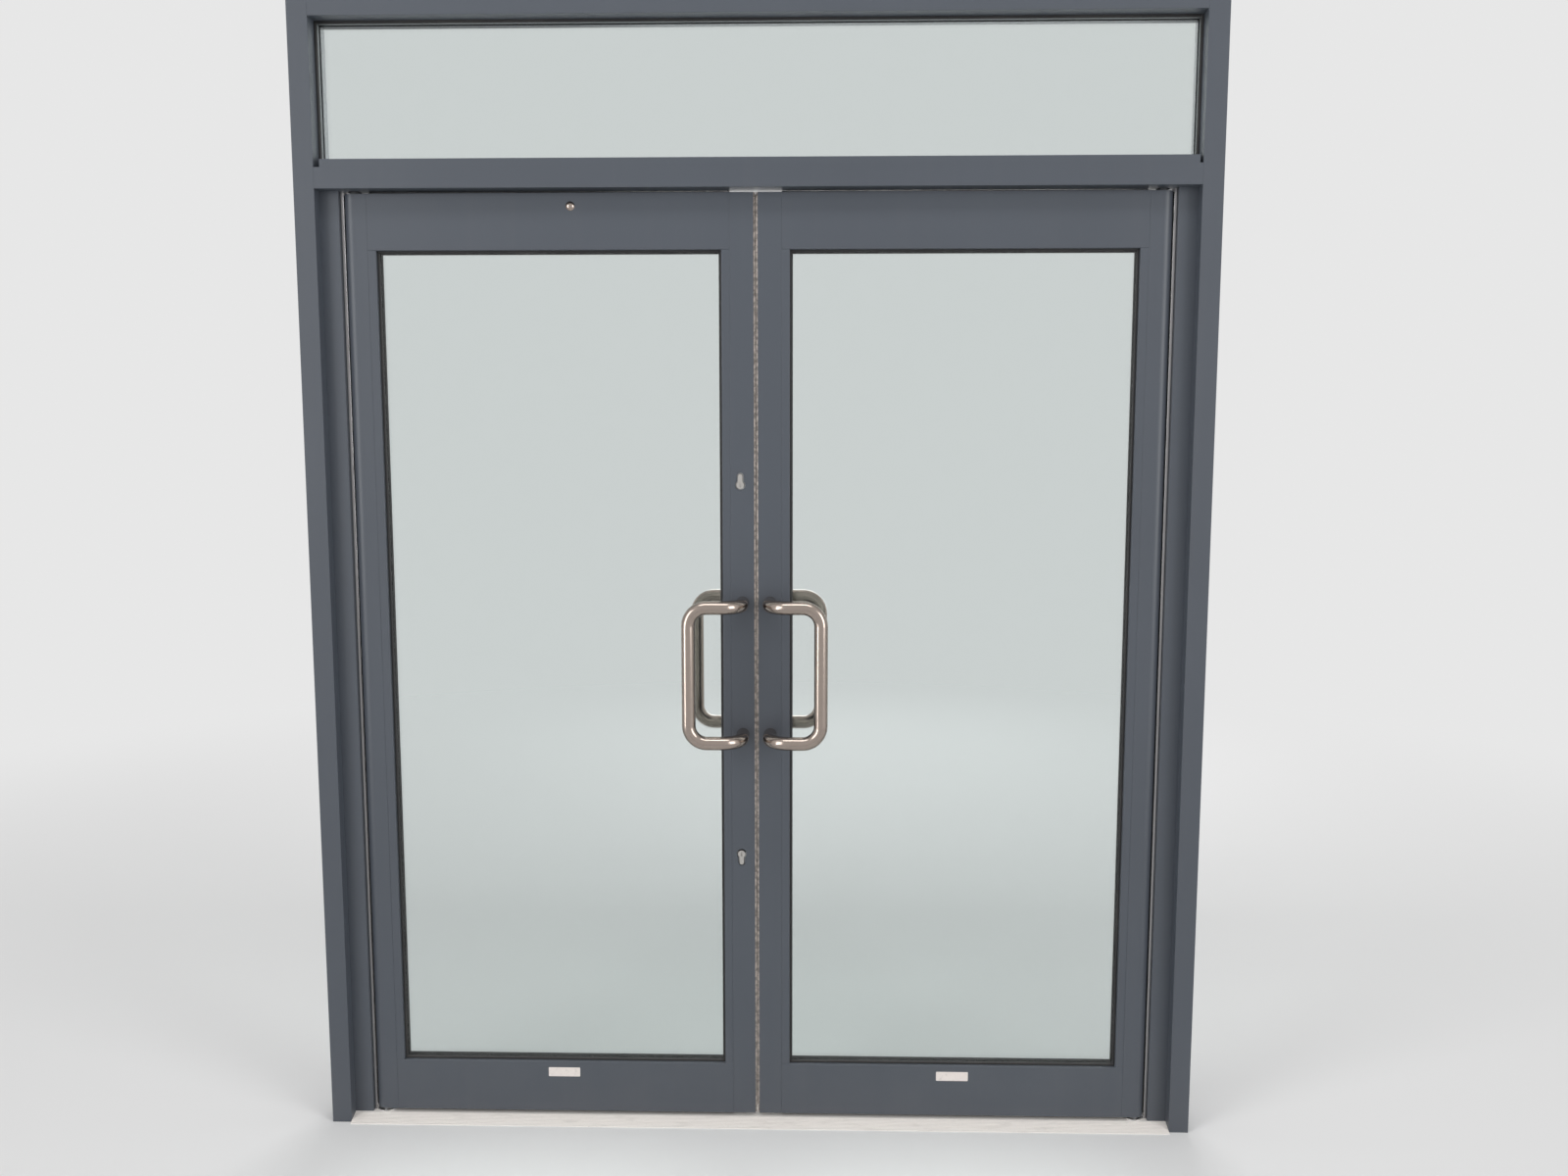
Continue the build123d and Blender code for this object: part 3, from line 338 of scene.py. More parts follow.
def powder_coat(look):
    """Satin powder coat: orange peel, a little unevenness, faint rain marks and dust at the foot."""
    paint = Paint("grey_coat")
    peel = paint.noise(1500.0)
    cloud = paint.noise(2.4, detail=4.0)
    rain = paint.rise(paint.noise(1.0, detail=3.0, stretch=(26.0, 26.0, 0.9)), low=0.45, high=0.95)
    foot = paint.near_floor(0.02, look.dust_height)
    film = foot * paint.noise(9.0, detail=5.0)
    specks = paint.rise(paint.noise(460.0), low=0.70, high=0.78) * (0.12 + foot)
    dust = film * 0.07 + rain * 0.02 + specks * 0.14
    tone = paint.shade(look.coat, between(0.93, 1.07, cloud))
    return paint.surface({
        "Base Color": paint.blend(dust, tone, look.dust),
        "Roughness": look.coat_sheen - 0.04 + cloud * 0.08 + dust * 0.45,
        "IOR": COAT_IOR,
        "Normal": paint.relief(peel, depth=0.00006, strength=0.35),
    })


def ground_steel(look):
    """Stainless steel bar ground round its own axis, with faint hand marks."""
    paint = Paint("satin_steel")
    upright = paint.noise(1.0, detail=3.0, stretch=(60.0, 60.0, 3400.0))
    level = paint.noise(1.0, detail=3.0, stretch=(60.0, 3400.0, 60.0))
    grip = paint.rise(paint.off_middle("Y"), low=0.080, high=0.100)
    lines = upright * grip + level * (1.0 - grip)
    marks = paint.noise(28.0, detail=4.0)
    return paint.surface({
        "Base Color": paint.shade(look.steel, 0.93 + lines * 0.10 + marks * 0.04),
        "Metallic": 1.0,
        "Roughness": look.steel_sheen - 0.05 + lines * 0.06 + marks * 0.07,
        "Normal": paint.relief(lines, GROUND_DEPTH, strength=0.30),
    })


def anodised_extrusion(look, name, colour, along, metal, sheen):
    """Anodised aluminium with die lines along one axis, scuffs and grit."""
    paint = Paint(name)
    die = paint.noise(1.0, detail=3.0, stretch=tuple(1.5 if axis == along else 1100.0 for axis in "XYZ"))
    wear = paint.noise(1.0, detail=5.0, stretch=tuple(14.0 if axis == along else 60.0 for axis in "XYZ"))
    scuffs = paint.rise(wear, low=0.52, high=0.70)
    grit = paint.rise(paint.noise(420.0, detail=4.0), low=0.60, high=0.70)
    dirt = scuffs * 0.14 + grit * 0.16
    tone = paint.shade(colour, between(0.93, 1.05, die))
    return paint.surface({
        "Base Color": paint.blend(dirt, tone, look.dust),
        "Metallic": metal - dirt * metal,
        "Roughness": sheen + die * 0.10 + dirt * 0.8,
        "Normal": paint.relief(die, depth=0.00003, strength=0.35),
    })


def zinc_plating(look):
    """Zinc-plated steel with soft blotches and rolling lines."""
    warm_cast = (1.0, 0.965, 0.90)
    paint = Paint("plated_steel")
    blotch = paint.noise(45.0, detail=4.0)
    lines = paint.noise(1.0, stretch=(900.0, 900.0, 14.0))
    warm = tuple(value * cast for value, cast in zip(look.plating, warm_cast))
    tone = paint.blend(paint.rise(blotch, low=0.35, high=0.70), look.plating, warm)
    return paint.surface({
        "Base Color": paint.shade(tone, between(0.93, 1.05, lines)),
        "Metallic": 1.0,
        "Roughness": between(0.28, 0.40, blotch),
        "Normal": paint.relief(lines, GROUND_DEPTH, strength=0.25),
    })


def matt_nickel(look):
    """Matt nickel with a fine satin grain and a few key scratches."""
    paint = Paint("nickel_brass")
    scratch = paint.rise(paint.noise(1.0, detail=4.0, stretch=(1500.0, 60.0, 220.0)), low=0.60, high=0.72)
    satin = paint.noise(1800.0)
    return paint.surface({
        "Base Color": paint.shade(look.nickel, 0.92 + satin * 0.10 + scratch * 0.10),
        "Metallic": 1.0,
        "Roughness": 0.26 + satin * 0.12 - scratch * 0.06,
        "Normal": paint.relief(satin, GROUND_DEPTH, strength=0.30),
    })


def cast_housing(look):
    """Painted casting with a sandy skin."""
    paint = Paint("cast_metal")
    skin = paint.noise(520.0, detail=4.0)
    cloud = paint.noise(12.0, detail=3.0)
    return paint.surface({
        "Base Color": paint.shade(look.casting, 0.80 + cloud * 0.25 + skin * 0.15),
        "Roughness": between(0.50, 0.65, skin),
        "Normal": paint.relief(skin, depth=0.00025, strength=0.45),
    })


def gasket_rubber(look):
    """Extruded rubber with a dull bloom and dust in its foot."""
    paint = Paint("black_rubber")
    skin = paint.noise(900.0, detail=3.0)
    bloom = paint.rise(paint.noise(7.0, detail=5.0), low=0.45, high=0.75)
    foot = paint.near_floor(0.10, look.dust_height)
    dust = bloom * 0.045 + foot * paint.noise(90.0, detail=5.0) * 0.05
    return paint.surface({
        "Base Color": paint.blend(dust, paint.shade(look.rubber, between(0.8, 1.2, skin)), look.dust),
        "Roughness": between(0.52, 0.64, skin) + dust,
        "Normal": paint.relief(skin, depth=0.00004, strength=0.30),
    })


def moulded_plastic(look):
    """Black moulded plastic with a fine sparkle texture."""
    paint = Paint("black_plastic")
    grain = paint.noise(1200.0)
    return paint.surface({
        "Base Color": paint.shade(look.plastic, between(0.85, 1.15, grain)),
        "Roughness": between(0.42, 0.54, grain),
        "Normal": paint.relief(grain, depth=0.00008, strength=0.30),
    })


def spacer_metal(look):
    """Dull rolled aluminium with lengthwise lines."""
    paint = Paint("spacer_metal")
    lines = paint.noise(1.0, stretch=(4.0, 1600.0, 4.0))
    cloud = paint.noise(9.0, detail=3.0)
    return paint.surface({
        "Base Color": paint.shade(look.spacer, 0.86 + lines * 0.16 + cloud * 0.12),
        "Metallic": 1.0,
        "Roughness": between(0.40, 0.50, lines),
        "Normal": paint.relief(lines, GROUND_DEPTH, strength=0.25),
    })


def float_glass(look):
    """Float glass: a faint tint, a slow waviness and a thin film of dust. Lamps shine through it."""
    paint = Paint("clear_glass")
    wave = paint.noise(3.0, detail=1.0)
    film = paint.noise(11.0, detail=5.0)
    pane = paint.principled({
        "Base Color": (*look.glass, 1.0),
        "Roughness": film * 0.012,
        "IOR": GLASS_IOR,
        "Transmission Weight": 1.0,
        "Normal": paint.relief(wave, depth=0.002, strength=0.04),
    })
    through = paint.node("ShaderNodeBsdfTransparent", {}, {"Color": SHADOW_TINT})[0]
    shadow_ray = paint.node("ShaderNodeLightPath")["Is Shadow Ray"]
    return paint.finished(paint.node("ShaderNodeMixShader", {}, {0: shadow_ray, 1: pane, 2: through})[0])


def pile_fibre(look):
    """Brush pile, beige and speckled where the leaves meet, dusty at the foot; away from them near-black,
    a painted shade of the gaps.
    """
    paint = Paint("beige_pile")
    tufts = paint.noise(420.0, detail=3.0)
    clumps = paint.rise(paint.noise(110.0), low=0.36, high=0.64)
    foot = paint.near_floor(0.0, look.dust_height)
    # Painted shade: away from the meeting edges the pile takes the near-black colour that stands for the
    # shade in the gaps
    elsewhere = paint.rise(paint.off_middle("X"), low=0.020, high=0.030)
    fibre = paint.blend(elsewhere, look.fibre, look.painted_shade_fibre)
    tone = paint.shade(fibre, 0.25 + tufts * 0.70 + clumps * 0.75)
    return paint.surface({
        "Base Color": paint.blend(foot * tufts * 0.5, tone, look.dust),
        "Roughness": between(0.80, 0.95, tufts),
        "Sheen Weight": 0.25,
        "Sheen Roughness": 0.5,
    })


def label_foil(look):
    """Pale metallised foil with a faint crinkle and worn, dirtier patches."""
    paint = Paint("label_foil")
    crinkle = paint.noise(160.0, detail=4.0)
    wear = paint.rise(paint.noise(90.0, detail=5.0), low=0.55, high=0.75)
    tone = paint.shade(look.foil, between(0.92, 1.06, crinkle))
    return paint.surface({
        "Base Color": paint.blend(wear * 0.22, tone, look.dust),
        "Metallic": 0.15,
        "Roughness": between(0.38, 0.50, crinkle),
        "Normal": paint.relief(crinkle, depth=0.0003, strength=0.35),
    })


def nodes_of(slot):
    """Names of the nodes that the record gives one material slot."""
    return [part["node"] for part in frame["record"]["subparts"] if part["material_slot"] == slot]


def dress(names, material):
    """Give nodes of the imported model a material."""
    if not names:
        raise RuntimeError(f"no node takes the finish {material.name}")
    for name in names:
        for slot in frame["nodes"][name].material_slots:
            slot.material = material


# Pieces

def plain_object(name, data):
    """New object at the origin, linked to the scene."""
    made = bpy.data.objects.new(name, data)
    bpy.context.scene.collection.objects.link(made)
    return made


def formed_object(name, form, material):
    """New object in one material from a bmesh, which is freed."""
    mesh = bpy.data.meshes.new(name)
    form.to_mesh(mesh)
    form.free()
    # Clearing also sets every face's material number back to 0, which grown tufts need
    mesh.materials.clear()
    mesh.materials.append(material)
    return plain_object(name, mesh)


def add_block(form, low, high):
    """Add a closed block between two corners to a bmesh."""
    spans = ((low.x, high.x), (low.y, high.y), (low.z, high.z))
    corners = [form.verts.new(place) for place in product(*spans)]
    faces = [(0, 1, 3, 2), (4, 6, 7, 5), (0, 4, 5, 1), (2, 3, 7, 6), (0, 2, 6, 4), (1, 5, 7, 3)]
    for face in faces:
        form.faces.new([corners[i] for i in face])


def sorted_corners(first, second):
    """Lowest and highest corner of the box between two points."""
    return Vector(map(min, first, second)), Vector(map(max, first, second))


def round_edges(form, edges, radius, segments):
    """Round some edges of a bmesh."""
    bmesh.ops.bevel(form, geom=edges, offset=radius, segments=segments, affect="EDGES", profile=0.5)


def settle_faces(mesh):
    """Put a mesh's faces in a fixed order, because a bevel's order changes from run to run."""
    places = [vertex.co.copy() for vertex in mesh.vertices]
    faces = []
    for face in mesh.polygons:
        corners = list(face.vertices)
        first = corners.index(min(corners))
        faces.append(corners[first:] + corners[:first])
    mesh.clear_geometry()
    mesh.from_pydata(places, [], sorted(faces))


def geometry_tree(name, sizes):
    """Geometry Nodes tree with a geometry, float sizes, a seed and a material as inputs."""
    tree = bpy.data.node_groups.new(name, "GeometryNodeTree")
    tree.interface.new_socket("Geometry", in_out="OUTPUT", socket_type="NodeSocketGeometry")
    inputs = [("Geometry", "NodeSocketGeometry")]
    inputs += [(size, "NodeSocketFloat") for size in sizes]
    inputs += [("Seed", "NodeSocketInt"), ("Material", "NodeSocketMaterial")]
    for socket, kind in inputs:
        tree.interface.new_socket(socket, in_out="INPUT", socket_type=kind)
    return tree


def grown(name, source, tree, values):
    """Plain mesh that a Geometry Nodes tree grows from a source mesh."""
    carrier = plain_object(name, source)
    modifier = carrier.modifiers.new(tree.name, "NODES")
    modifier.node_group = tree
    for item in tree.interface.items_tree:
        if item.in_out == "INPUT" and item.name in values:
            modifier[item.identifier] = values[item.name]
    shown = bpy.context.evaluated_depsgraph_get()
    mesh = bpy.data.meshes.new_from_object(carrier.evaluated_get(shown), depsgraph=shown)
    bpy.data.objects.remove(carrier)
    if not mesh.polygons:
        raise RuntimeError(f"{name} grew no faces")
    return mesh


def outward_mesh(name, points, edges):
    """Mesh of points and edges; each point keeps its outward direction."""
    mesh = bpy.data.meshes.new(name)
    mesh.from_pydata([place for place, _ in points], edges, [])
    outward = mesh.attributes.new("outward", "FLOAT_VECTOR", "POINT")
    for i, (_, direction) in enumerate(points):
        outward.data[i].vector = direction
    return mesh


def outward_rotation(bench):
    """Rotation that stands an instance along its point's outward direction."""
    outward = bench.node("GeometryNodeInputNamedAttribute", {"data_type": "FLOAT_VECTOR"},
                         {"Name": "outward"})
    return bench.node("FunctionNodeAlignRotationToVector", {"axis": "Z"},
                      {"Vector": outward["Attribute"]})[0]


def turned_at_random(bench, rotation, reach, seed):
    """A rotation turned further by a random angle about each axis."""
    limits = {0: tuple(-angle for angle in reach), 1: reach, "Seed": seed}
    angles = bench.node("FunctionNodeRandomValue", {"data_type": "FLOAT_VECTOR"}, limits)[0]
    turn = bench.node("FunctionNodeEulerToRotation", {}, {0: angles})[0]
    return bench.node("FunctionNodeRotateRotation", {"rotation_space": "LOCAL"},
                      {0: rotation, 1: turn})[0]


def finish_tree(bench, instances, material):
    """Realize the instances, give them their material and end the tree."""
    real = bench.node("GeometryNodeRealizeInstances", {}, {0: instances})[0]
    done = bench.node("GeometryNodeSetMaterial", {}, {"Geometry": real, "Material": material})[0]
    bench.node("NodeGroupOutput", {}, {0: done})


def tuft_tree():
    """Tree that plants tapered tufts along every edge of its geometry."""
    bench = Bench(geometry_tree("pile_tufts", ["Pitch", "Radius", "Length"]))
    given = bench.node("NodeGroupInput")
    curve = bench.node("GeometryNodeMeshToCurve", {}, {0: given["Geometry"]})[0]
    points = bench.node("GeometryNodeCurveToPoints", {"mode": "LENGTH"},
                        {"Curve": curve, "Length": given["Pitch"]})["Points"]
    rotation = turned_at_random(bench, outward_rotation(bench), (TUFT_LEAN, TUFT_LEAN, ANY_TURN),
                                given["Seed"])
    height = bench.node("FunctionNodeRandomValue", {"data_type": "FLOAT"},
                        {RANDOM_LOW: TUFT_SHORTEST, RANDOM_HIGH: TUFT_LONGEST,
                         "Seed": given["Seed"]})[RANDOM_RESULT]
    tuft = bench.node("GeometryNodeMeshCone", {"fill_type": "NGON"},
                      {"Vertices": TUFT_SIDES, "Radius Top": given["Radius"] * TUFT_TIP,
                       "Radius Bottom": given["Radius"], "Depth": given["Length"]})["Mesh"]
    planted = bench.node("GeometryNodeInstanceOnPoints", {},
                         {"Points": points, "Instance": tuft, "Rotation": rotation, "Scale": height})[0]
    finish_tree(bench, planted, given["Material"])
    return bench.tree


def screw_tree():
    """Tree that sets a bevelled, cross-recessed screw head on every point."""
    bench = Bench(geometry_tree("screw_heads", ["Radius", "Height"]))
    given = bench.node("NodeGroupInput")
    head = bench.node("GeometryNodeMeshCone", {"fill_type": "NGON"},
                      {"Vertices": SCREW_SIDES, "Radius Top": given["Radius"] * SCREW_CROWN,
                       "Radius Bottom": given["Radius"], "Depth": given["Height"]})["Mesh"]
    bars = []
    for long, short in ((RECESS_LENGTH, RECESS_WIDTH), (RECESS_WIDTH, RECESS_LENGTH)):
        size = bench.node("ShaderNodeCombineXYZ", {},
                          {0: given["Radius"] * long, 1: given["Radius"] * short, 2: given["Height"]})[0]
        bar = bench.node("GeometryNodeMeshCube", {}, {"Size": size})["Mesh"]
        lift = bench.node("ShaderNodeCombineXYZ", {}, {2: given["Height"] * RECESS_LEVEL})[0]
        bars.append(bench.node("GeometryNodeTransform", {}, {"Geometry": bar, "Translation": lift})[0])
    cut = head
    for bar in bars:
        cut = bench.node("GeometryNodeMeshBoolean", {"operation": "DIFFERENCE", "solver": "EXACT"},
                         {"Mesh 1": cut, "Mesh 2": bar})["Mesh"]
    rotation = turned_at_random(bench, outward_rotation(bench), (0.0, 0.0, ANY_TURN), given["Seed"])
    placed = bench.node("GeometryNodeInstanceOnPoints", {},
                        {"Points": given["Geometry"], "Instance": cut, "Rotation": rotation})[0]
    finish_tree(bench, placed, given["Material"])
    return bench.tree


def pile_strips(side, trim):
    """Mouths of a leaf's pile strips: two ends, outward direction and reach."""
    sign = SIDES[side]
    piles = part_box(f"{side}_brush_piles")
    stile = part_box(f"{side}_meeting_stile")
    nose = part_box(f"{side}_hinge_stile")
    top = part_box(f"{side}_top_rail")
    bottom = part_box(f"{side}_bottom_rail")
    low, high = stile[0].z, stile[1].z
    inner, outer = (0, 1) if sign > 0 else (1, 0)
    edge_x, edge_tip = stile[inner].x, piles[inner].x
    nose_x, nose_tip = nose[outer].x, piles[outer].x
    deep = Vector((sign, 0, 0))
    strips = []
    for y in (-trim.pile_offset, trim.pile_offset):
        strips.append((Vector((edge_x, y, low)), Vector((edge_x, y, high)), -deep, abs(edge_x - edge_tip)))
    strips.append((Vector((nose_x, 0, low)), Vector((nose_x, 0, high)), deep, abs(nose_tip - nose_x)))
    strips.append((Vector((top[0].x, 0, top[1].z)), Vector((top[1].x, 0, top[1].z)),
                   UP, piles[1].z - top[1].z + trim.pile_touch))
    strips.append((Vector((bottom[0].x, 0, bottom[0].z)), Vector((bottom[1].x, 0, bottom[0].z)),
                   DOWN, bottom[0].z - piles[0].z))
    return strips


def tuft_rows(strip, trim):
    """Mesh of three rows of roots across a strip, the middle one half a pitch further on."""
    start, end, outward, _ = strip
    along = (end - start).normalized()
    spread = trim.pile_width / 2 - trim.tuft_radius
    points = []
    for row in (-1, 0, 1):
        shift = ACROSS * (row * spread) - outward * trim.pile_root
        margin = along * (trim.tuft_pitch * (1.0 if row == 0 else 0.5))
        points += [(start + shift + margin, outward), (end + shift - margin, outward)]
    edges = [(i, i + 1) for i in range(0, len(points), 2)]
    return outward_mesh("pile_row", points, edges)


def add_pile_core(form, strip, trim):
    """Add the dense middle of a pile strip and its backing to a bmesh."""
    start, end, outward, reach = strip
    core_half = ACROSS * (trim.pile_width * CORE_HALF_WIDTH)
    add_block(form, *sorted_corners(start - core_half - outward * trim.pile_root,
                                    end + core_half + outward * (reach * CORE_HEIGHT)))
    backing_half = ACROSS * (trim.pile_width * BACKING_HALF_WIDTH)
    add_block(form, *sorted_corners(start - backing_half - outward * (trim.pile_root * BACKING_DEPTH),
                                    end + backing_half - outward * trim.pile_root))


def make_pile(side, trim, material):
    """Bristles of one leaf, in place of its plain pile strips."""
    tree = tuft_tree()
    form = bmesh.new()
    for number, strip in enumerate(pile_strips(side, trim)):
        values = {"Pitch": trim.tuft_pitch, "Radius": trim.tuft_radius,
                  "Length": strip[-1] + trim.pile_root, "Seed": trim.seed + number, "Material": material}
        tufts = grown("pile_row", tuft_rows(strip, trim), tree, values)
        form.from_mesh(tufts)
        bpy.data.meshes.remove(tufts)
        add_pile_core(form, strip, trim)
    bmesh.ops.recalc_face_normals(form, faces=form.faces)
    piece = formed_object(f"{side}_pile_bristles", form, material)
    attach(piece, f"{side}_leaf")
    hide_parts(f"{side}_brush_piles")


def forend_screws():
    """Screws of both forends, at their ends and beside each cylinder."""
    inset = 0.0095
    screws = []
    for lock in ("upper", "lower"):
        low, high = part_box(f"{lock}_lock_case")
        plug_low, plug_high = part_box(f"{lock}_lock_cylinder")
        middle_y = (low.y + high.y) / 2
        fixing_z = (plug_low.z + plug_high.z) / 2
        for z in (low.z + inset, high.z - inset, fixing_z):
            screws.append((Vector((high.x, middle_y, z)), RIGHT))
    return screws


def keep_screws():
    """Two screws in each keep, above and below its slot."""
    keep_length, inset = 0.070, 0.008
    low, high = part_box("lock_keeps")
    middle_y = (low.y + high.y) / 2
    heights = (low.z + inset, low.z + keep_length - inset, high.z - keep_length + inset, high.z - inset)
    return [(Vector((low.x, middle_y, z)), LEFT) for z in heights]


def pivot_screws():
    """Two screws in the base of each floor pivot, front and back."""
    base_thickness, inset = 0.003, 0.0055
    screws = []
    for side in SIDES:
        low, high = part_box(f"{side}_floor_pivot")
        x, z = (low.x + high.x) / 2, low.z + base_thickness
        for y in (low.y + inset, high.y - inset):
            screws.append((Vector((x, y, z)), UP))
    return screws


def make_screws(name, body, points, trim, material):
    """Screw heads of one body."""
    values = {"Radius": trim.screw_radius, "Height": trim.screw_height,
              "Seed": trim.seed, "Material": material}
    mesh = grown(name, outward_mesh(name, points, []), screw_tree(), values)
    mesh.name = name
    piece = plain_object(name, mesh)
    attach(piece, body)


def make_plate(side, trim, material):
    """Bare label plate on the outside of a bottom rail."""
    corner_radius, edge_radius = 0.0016, 0.0002
    rail_low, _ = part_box(f"{side}_bottom_rail")
    face_y = rail_low.y
    half = Vector((trim.plate_width / 2, 0, trim.plate_height / 2))
    middle = Vector((SIDES[side] * trim.plate_centre, face_y, trim.plate_level))
    form = bmesh.new()
    add_block(form, middle - half - Vector((0, trim.plate_thickness, 0)), middle + half)
    bmesh.ops.recalc_face_normals(form, faces=form.faces)
    through = [edge for edge in form.edges if edge.verts[0].co.y != edge.verts[1].co.y]
    round_edges(form, through, corner_radius, segments=4)
    half_deep = face_y - trim.plate_thickness / 2
    front = [edge for edge in form.edges if all(vert.co.y < half_deep for vert in edge.verts)]
    round_edges(form, front, edge_radius, segments=2)
    piece = formed_object(f"{side}_label_plate", form, material)
    settle_faces(piece.data)
    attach(piece, f"{side}_leaf")


# Studio

def backdrop_share(bench):
    """1 for rays that look at the backdrop itself, in glass and in metal too."""
    ray = bench.node("ShaderNodeLightPath")
    share = ray["Is Camera Ray"]
    for kind in ("Is Glossy Ray", "Is Transmission Ray"):
        share = share.maths("MAXIMUM", share, ray[kind])
    return share


def make_world(studio):
    """Even ambient light, and the pale backdrop where it is looked at."""
    white, backdrop = (1.0, 1.0, 1.0, 1.0), (*studio.backdrop, 1.0)
    world = bpy.data.worlds.new("studio")
    world.use_nodes = True
    bench = Bench(world.node_tree)
    ambient = bench.node("ShaderNodeBackground", {}, {"Color": white, "Strength": studio.ambient})[0]
    pale = bench.node("ShaderNodeBackground", {}, {"Color": backdrop, "Strength": 1.0})[0]
    mixed = bench.node("ShaderNodeMixShader", {}, {0: backdrop_share(bench), 1: ambient, 2: pale})[0]
    bench.node("ShaderNodeOutputWorld", {}, {"Surface": mixed})
    bpy.context.scene.world = world


def make_floor(studio):
    """Pale floor that takes the door's shadow and fades into the backdrop."""
    radius, sides, drop = 22.0, 96, 0.0003
    fade_start, fade_end = 1.6, 5.5
    backdrop = (*studio.backdrop, 1.0)
    paint = Paint("studio_floor")
    matt = paint.node("ShaderNodeBsdfDiffuse", {}, {"Color": backdrop})[0]
    haze = paint.node("ShaderNodeEmission", {}, {"Color": backdrop, "Strength": 1.0})[0]
    distance = paint.node("ShaderNodeVectorMath", {"operation": "LENGTH"}, {0: paint.place})["Value"]
    share = paint.rise(distance, fade_start, fade_end) * backdrop_share(paint)
    material = paint.finished(paint.node("ShaderNodeMixShader", {}, {0: share, 1: matt, 2: haze})[0])
    form = bmesh.new()
    bmesh.ops.create_circle(form, cap_ends=True, segments=sides, radius=radius)
    floor = formed_object("studio_floor", form, material)
    floor.location.z = -drop


def make_lamp(name, power, place, target, size, spread=math.pi):
    """Soft lamp of a width and height that faces a target; a small spread keeps it to a beam."""
    light = bpy.data.lights.new(name, "AREA")
    light.shape = "RECTANGLE"
    light.size, light.size_y = size
    light.energy = power
    light.spread = spread
    lamp = plain_object(name, light)
    lamp.location = place
    lamp.rotation_euler = (Vector(target) - Vector(place)).to_track_quat("-Z", "Y").to_euler()
    lamp.visible_camera = False
    lamp.visible_transmission = False


def make_lamps(studio):
    """Soft lamps round the door, and a narrow beam that draws the round of the handles."""
    middle, above_handles = (0.0, 0.0, 1.2), (0.0, 0.0, 2.0)
    beam = math.radians(26.0)
    make_lamp("key_lamp", studio.key_power, (-4.9, -4.2, 2.5), middle, (2.8, 4.6))
    make_lamp("strip_lamp", studio.strip_power, (-2.83, -1.97, 1.36), above_handles, (0.40, 2.4), beam)
    make_lamp("fill_lamp", studio.fill_power, (5.2, -4.0, 2.4), middle, (2.8, 4.4))
    make_lamp("top_lamp", studio.top_power, (0.0, -1.7, 5.2), middle, (4.0, 0.8))
    make_lamp("back_lamp", studio.back_power, (0.5, 5.6, 2.6), middle, (3.4, 4.4))


def make_camera(studio):
    """Camera where the photograph was taken from."""
    sensor_width, level = 36.0, math.radians(90.0)
    camera = bpy.data.cameras.new("camera")
    camera.lens = studio.lens
    camera.sensor_width = sensor_width
    stand = plain_object("camera", camera)
    stand.location = studio.camera_place
    stand.rotation_euler = (level - studio.camera_tilt, 0.0, studio.camera_turn)
    bpy.context.scene.camera = stand


# Operators

class DOOR_OT_stage(bpy.types.Operator):
    """Set up the floor, the backdrop, the lamps and the camera"""

    bl_idname = "door.stage"
    bl_label = "Studio"

    def execute(self, context):
        studio = context.scene.door_studio
        make_world(studio)
        make_floor(studio)
        make_lamps(studio)
        make_camera(studio)
        context.scene.view_settings.view_transform = "Standard"
        return {"FINISHED"}


class DOOR_OT_coat(bpy.types.Operator):
    """Powder-coat the frame members, jambs, stiles, rails and beads"""

    bl_idname = "door.coat"
    bl_label = "Coated aluminium"

    def execute(self, context):
        dress(nodes_of("grey_coat"), powder_coat(context.scene.door_finish))
        return {"FINISHED"}


class DOOR_OT_glazing(bpy.types.Operator):
    """Finish the panes, spacers, gaskets and setting blocks"""

    bl_idname = "door.glazing"
    bl_label = "Glazing"

    def execute(self, context):
        look = context.scene.door_finish
        dress(nodes_of("clear_glass"), float_glass(look))
        dress(nodes_of("spacer_metal"), spacer_metal(look))
        dress(nodes_of("black_rubber"), gasket_rubber(look))
        dress(nodes_of("black_plastic"), moulded_plastic(look))
        return {"FINISHED"}


class DOOR_OT_handles(bpy.types.Operator):
    """Finish the pull handles and the stud"""

    bl_idname = "door.handles"
    bl_label = "Pull handles"

    def execute(self, context):
        dress(nodes_of("satin_steel"), ground_steel(context.scene.door_finish))
        return {"FINISHED"}


class DOOR_OT_metalwork(bpy.types.Operator):
    """Finish the threshold, guards, locks, pivots and closers"""

    bl_idname = "door.metalwork"
    bl_label = "Metalwork"

    def execute(self, context):
        look = context.scene.door_finish
        anodised = nodes_of("silver_anodised")
        level = [name for name in anodised if name == "threshold"]
        upright = [name for name in anodised if name != "threshold"]
        # Painted light: the threshold gets the pale, warm copy of the anodised finish, with little metal,
        # brightened to stand for strong light on it
        dress(level, anodised_extrusion(look, "threshold_aluminium", look.anodised, "X",
                                        metal=0.25, sheen=0.42))
        # Painted shade: the guards get the darker copy of the anodised finish, standing for the shade in
        # their recesses
        dress(upright, anodised_extrusion(look, "guard_aluminium", look.guard, "Z",
                                          metal=1.0, sheen=0.28))
        dress(nodes_of("plated_steel"), zinc_plating(look))
        dress(nodes_of("nickel_brass"), matt_nickel(look))
        dress(nodes_of("cast_metal"), cast_housing(look))
        return {"FINISHED"}


class DOOR_OT_pile(bpy.types.Operator):
    """Grow the bristles of the brush pile strips"""

    bl_idname = "door.pile"
    bl_label = "Brush pile"

    def execute(self, context):
        material = pile_fibre(context.scene.door_finish)
        for side in SIDES:
            make_pile(side, context.scene.door_trim, material)
        return {"FINISHED"}


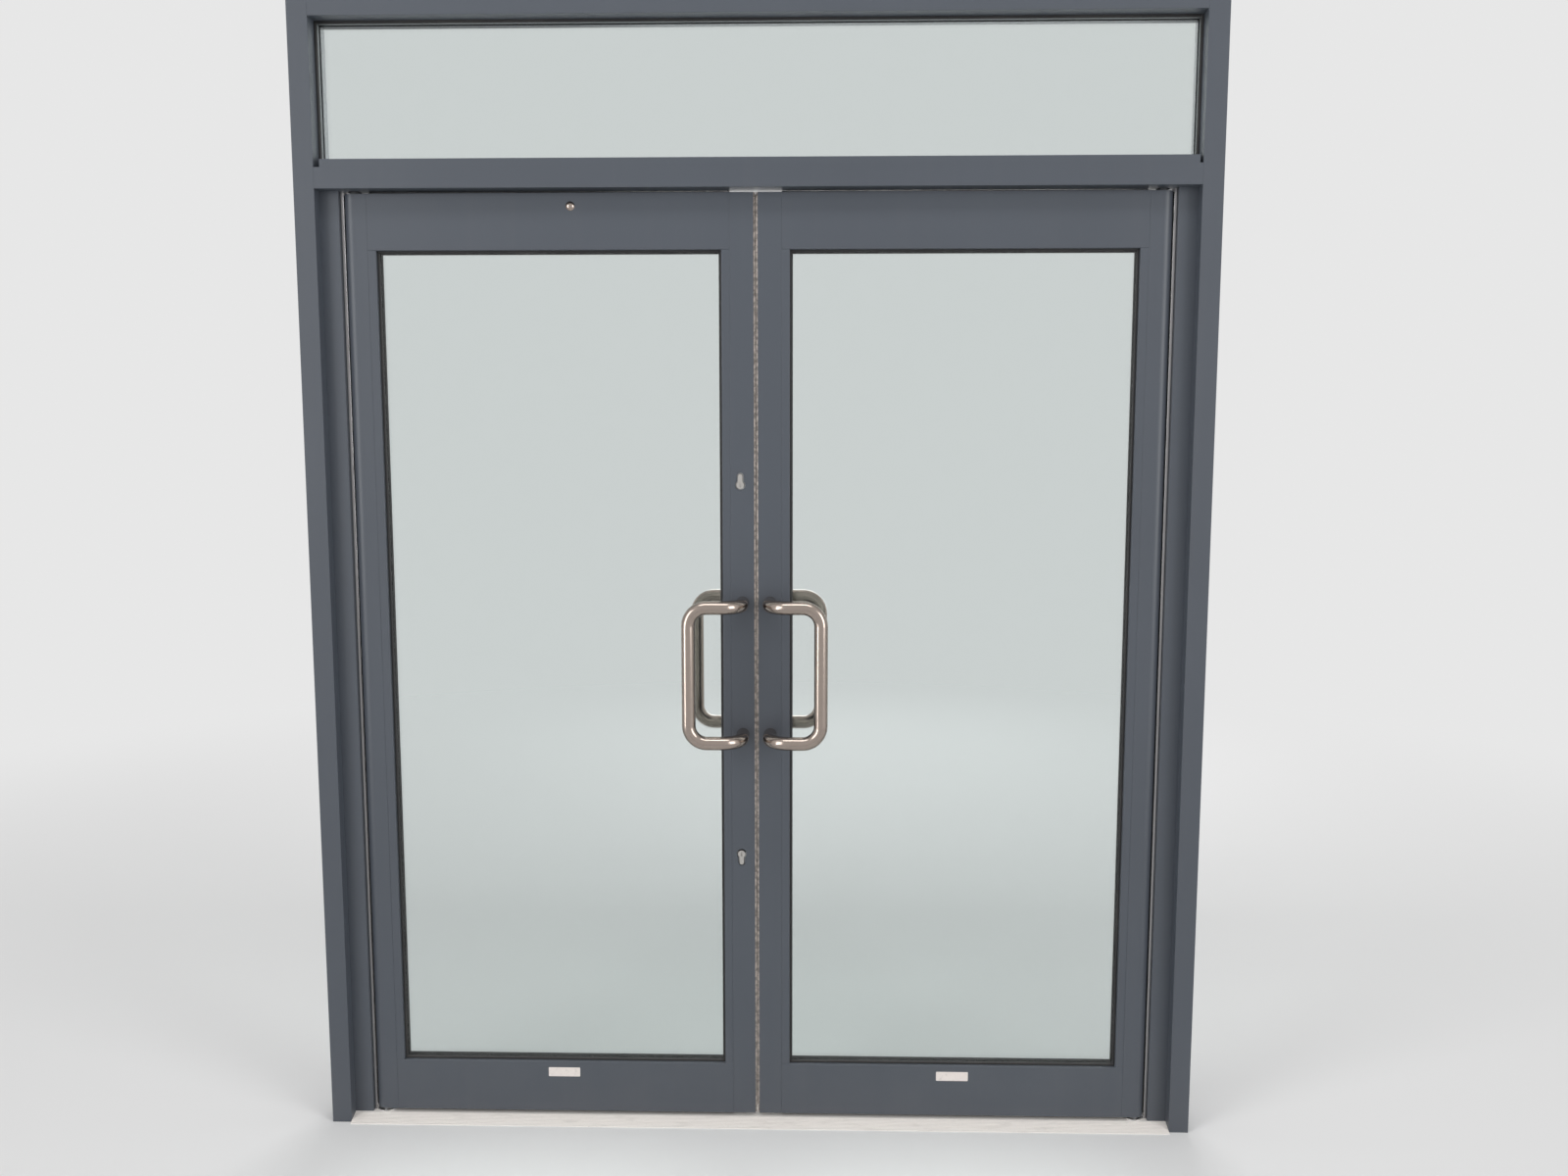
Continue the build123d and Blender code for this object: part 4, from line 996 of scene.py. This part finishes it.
class DOOR_OT_screws(bpy.types.Operator):
    """Set the small screws of forends, keeps and floor pivots"""

    bl_idname = "door.screws"
    bl_label = "Small screws"

    def execute(self, context):
        trim = context.scene.door_trim
        material = bpy.data.materials.get("plated_steel") or zinc_plating(context.scene.door_finish)
        make_screws("forend_screws", "left_leaf", forend_screws(), trim, material)
        make_screws("keep_screws", "right_leaf", keep_screws(), trim, material)
        make_screws("pivot_screws", "frame", pivot_screws(), trim, material)
        return {"FINISHED"}


class DOOR_OT_plates(bpy.types.Operator):
    """Lay the bare label plates on the bottom rails"""

    bl_idname = "door.plates"
    bl_label = "Label plates"

    def execute(self, context):
        material = label_foil(context.scene.door_finish)
        for side in SIDES:
            make_plate(side, context.scene.door_trim, material)
        return {"FINISHED"}


OPERATORS = (DOOR_OT_stage, DOOR_OT_coat, DOOR_OT_glazing, DOOR_OT_handles,
             DOOR_OT_metalwork, DOOR_OT_pile, DOOR_OT_screws, DOOR_OT_plates)


class DOOR_PT_panel(bpy.types.Panel):
    """Buttons for the door's finishes and pieces"""

    bl_idname = "DOOR_PT_panel"
    bl_label = "Entrance Door"
    bl_space_type = "VIEW_3D"
    bl_region_type = "UI"
    bl_category = "Entrance Door"

    def draw(self, context):
        for operator in OPERATORS:
            self.layout.operator(operator.bl_idname)


SETTINGS = {
    "door_finish": DoorFinishSettings,
    "door_trim": DoorTrimSettings,
    "door_studio": DoorStudioSettings,
}


def register():
    """Register the settings, the operators and the panel."""
    for name, group in SETTINGS.items():
        bpy.utils.register_class(group)
        setattr(bpy.types.Scene, name, PointerProperty(type=group))
    for operator in OPERATORS:
        bpy.utils.register_class(operator)
    bpy.utils.register_class(DOOR_PT_panel)


def unregister():
    """Take everything out again."""
    bpy.utils.unregister_class(DOOR_PT_panel)
    for operator in reversed(OPERATORS):
        bpy.utils.unregister_class(operator)
    for name, group in SETTINGS.items():
        delattr(bpy.types.Scene, name)
        bpy.utils.unregister_class(group)


def main():
    """Dress the door, piece by piece."""
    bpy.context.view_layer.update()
    register()
    for operator in OPERATORS:
        getattr(bpy.ops.door, operator.bl_idname.split(".")[1])()


if __name__ == "__main__":
    main()
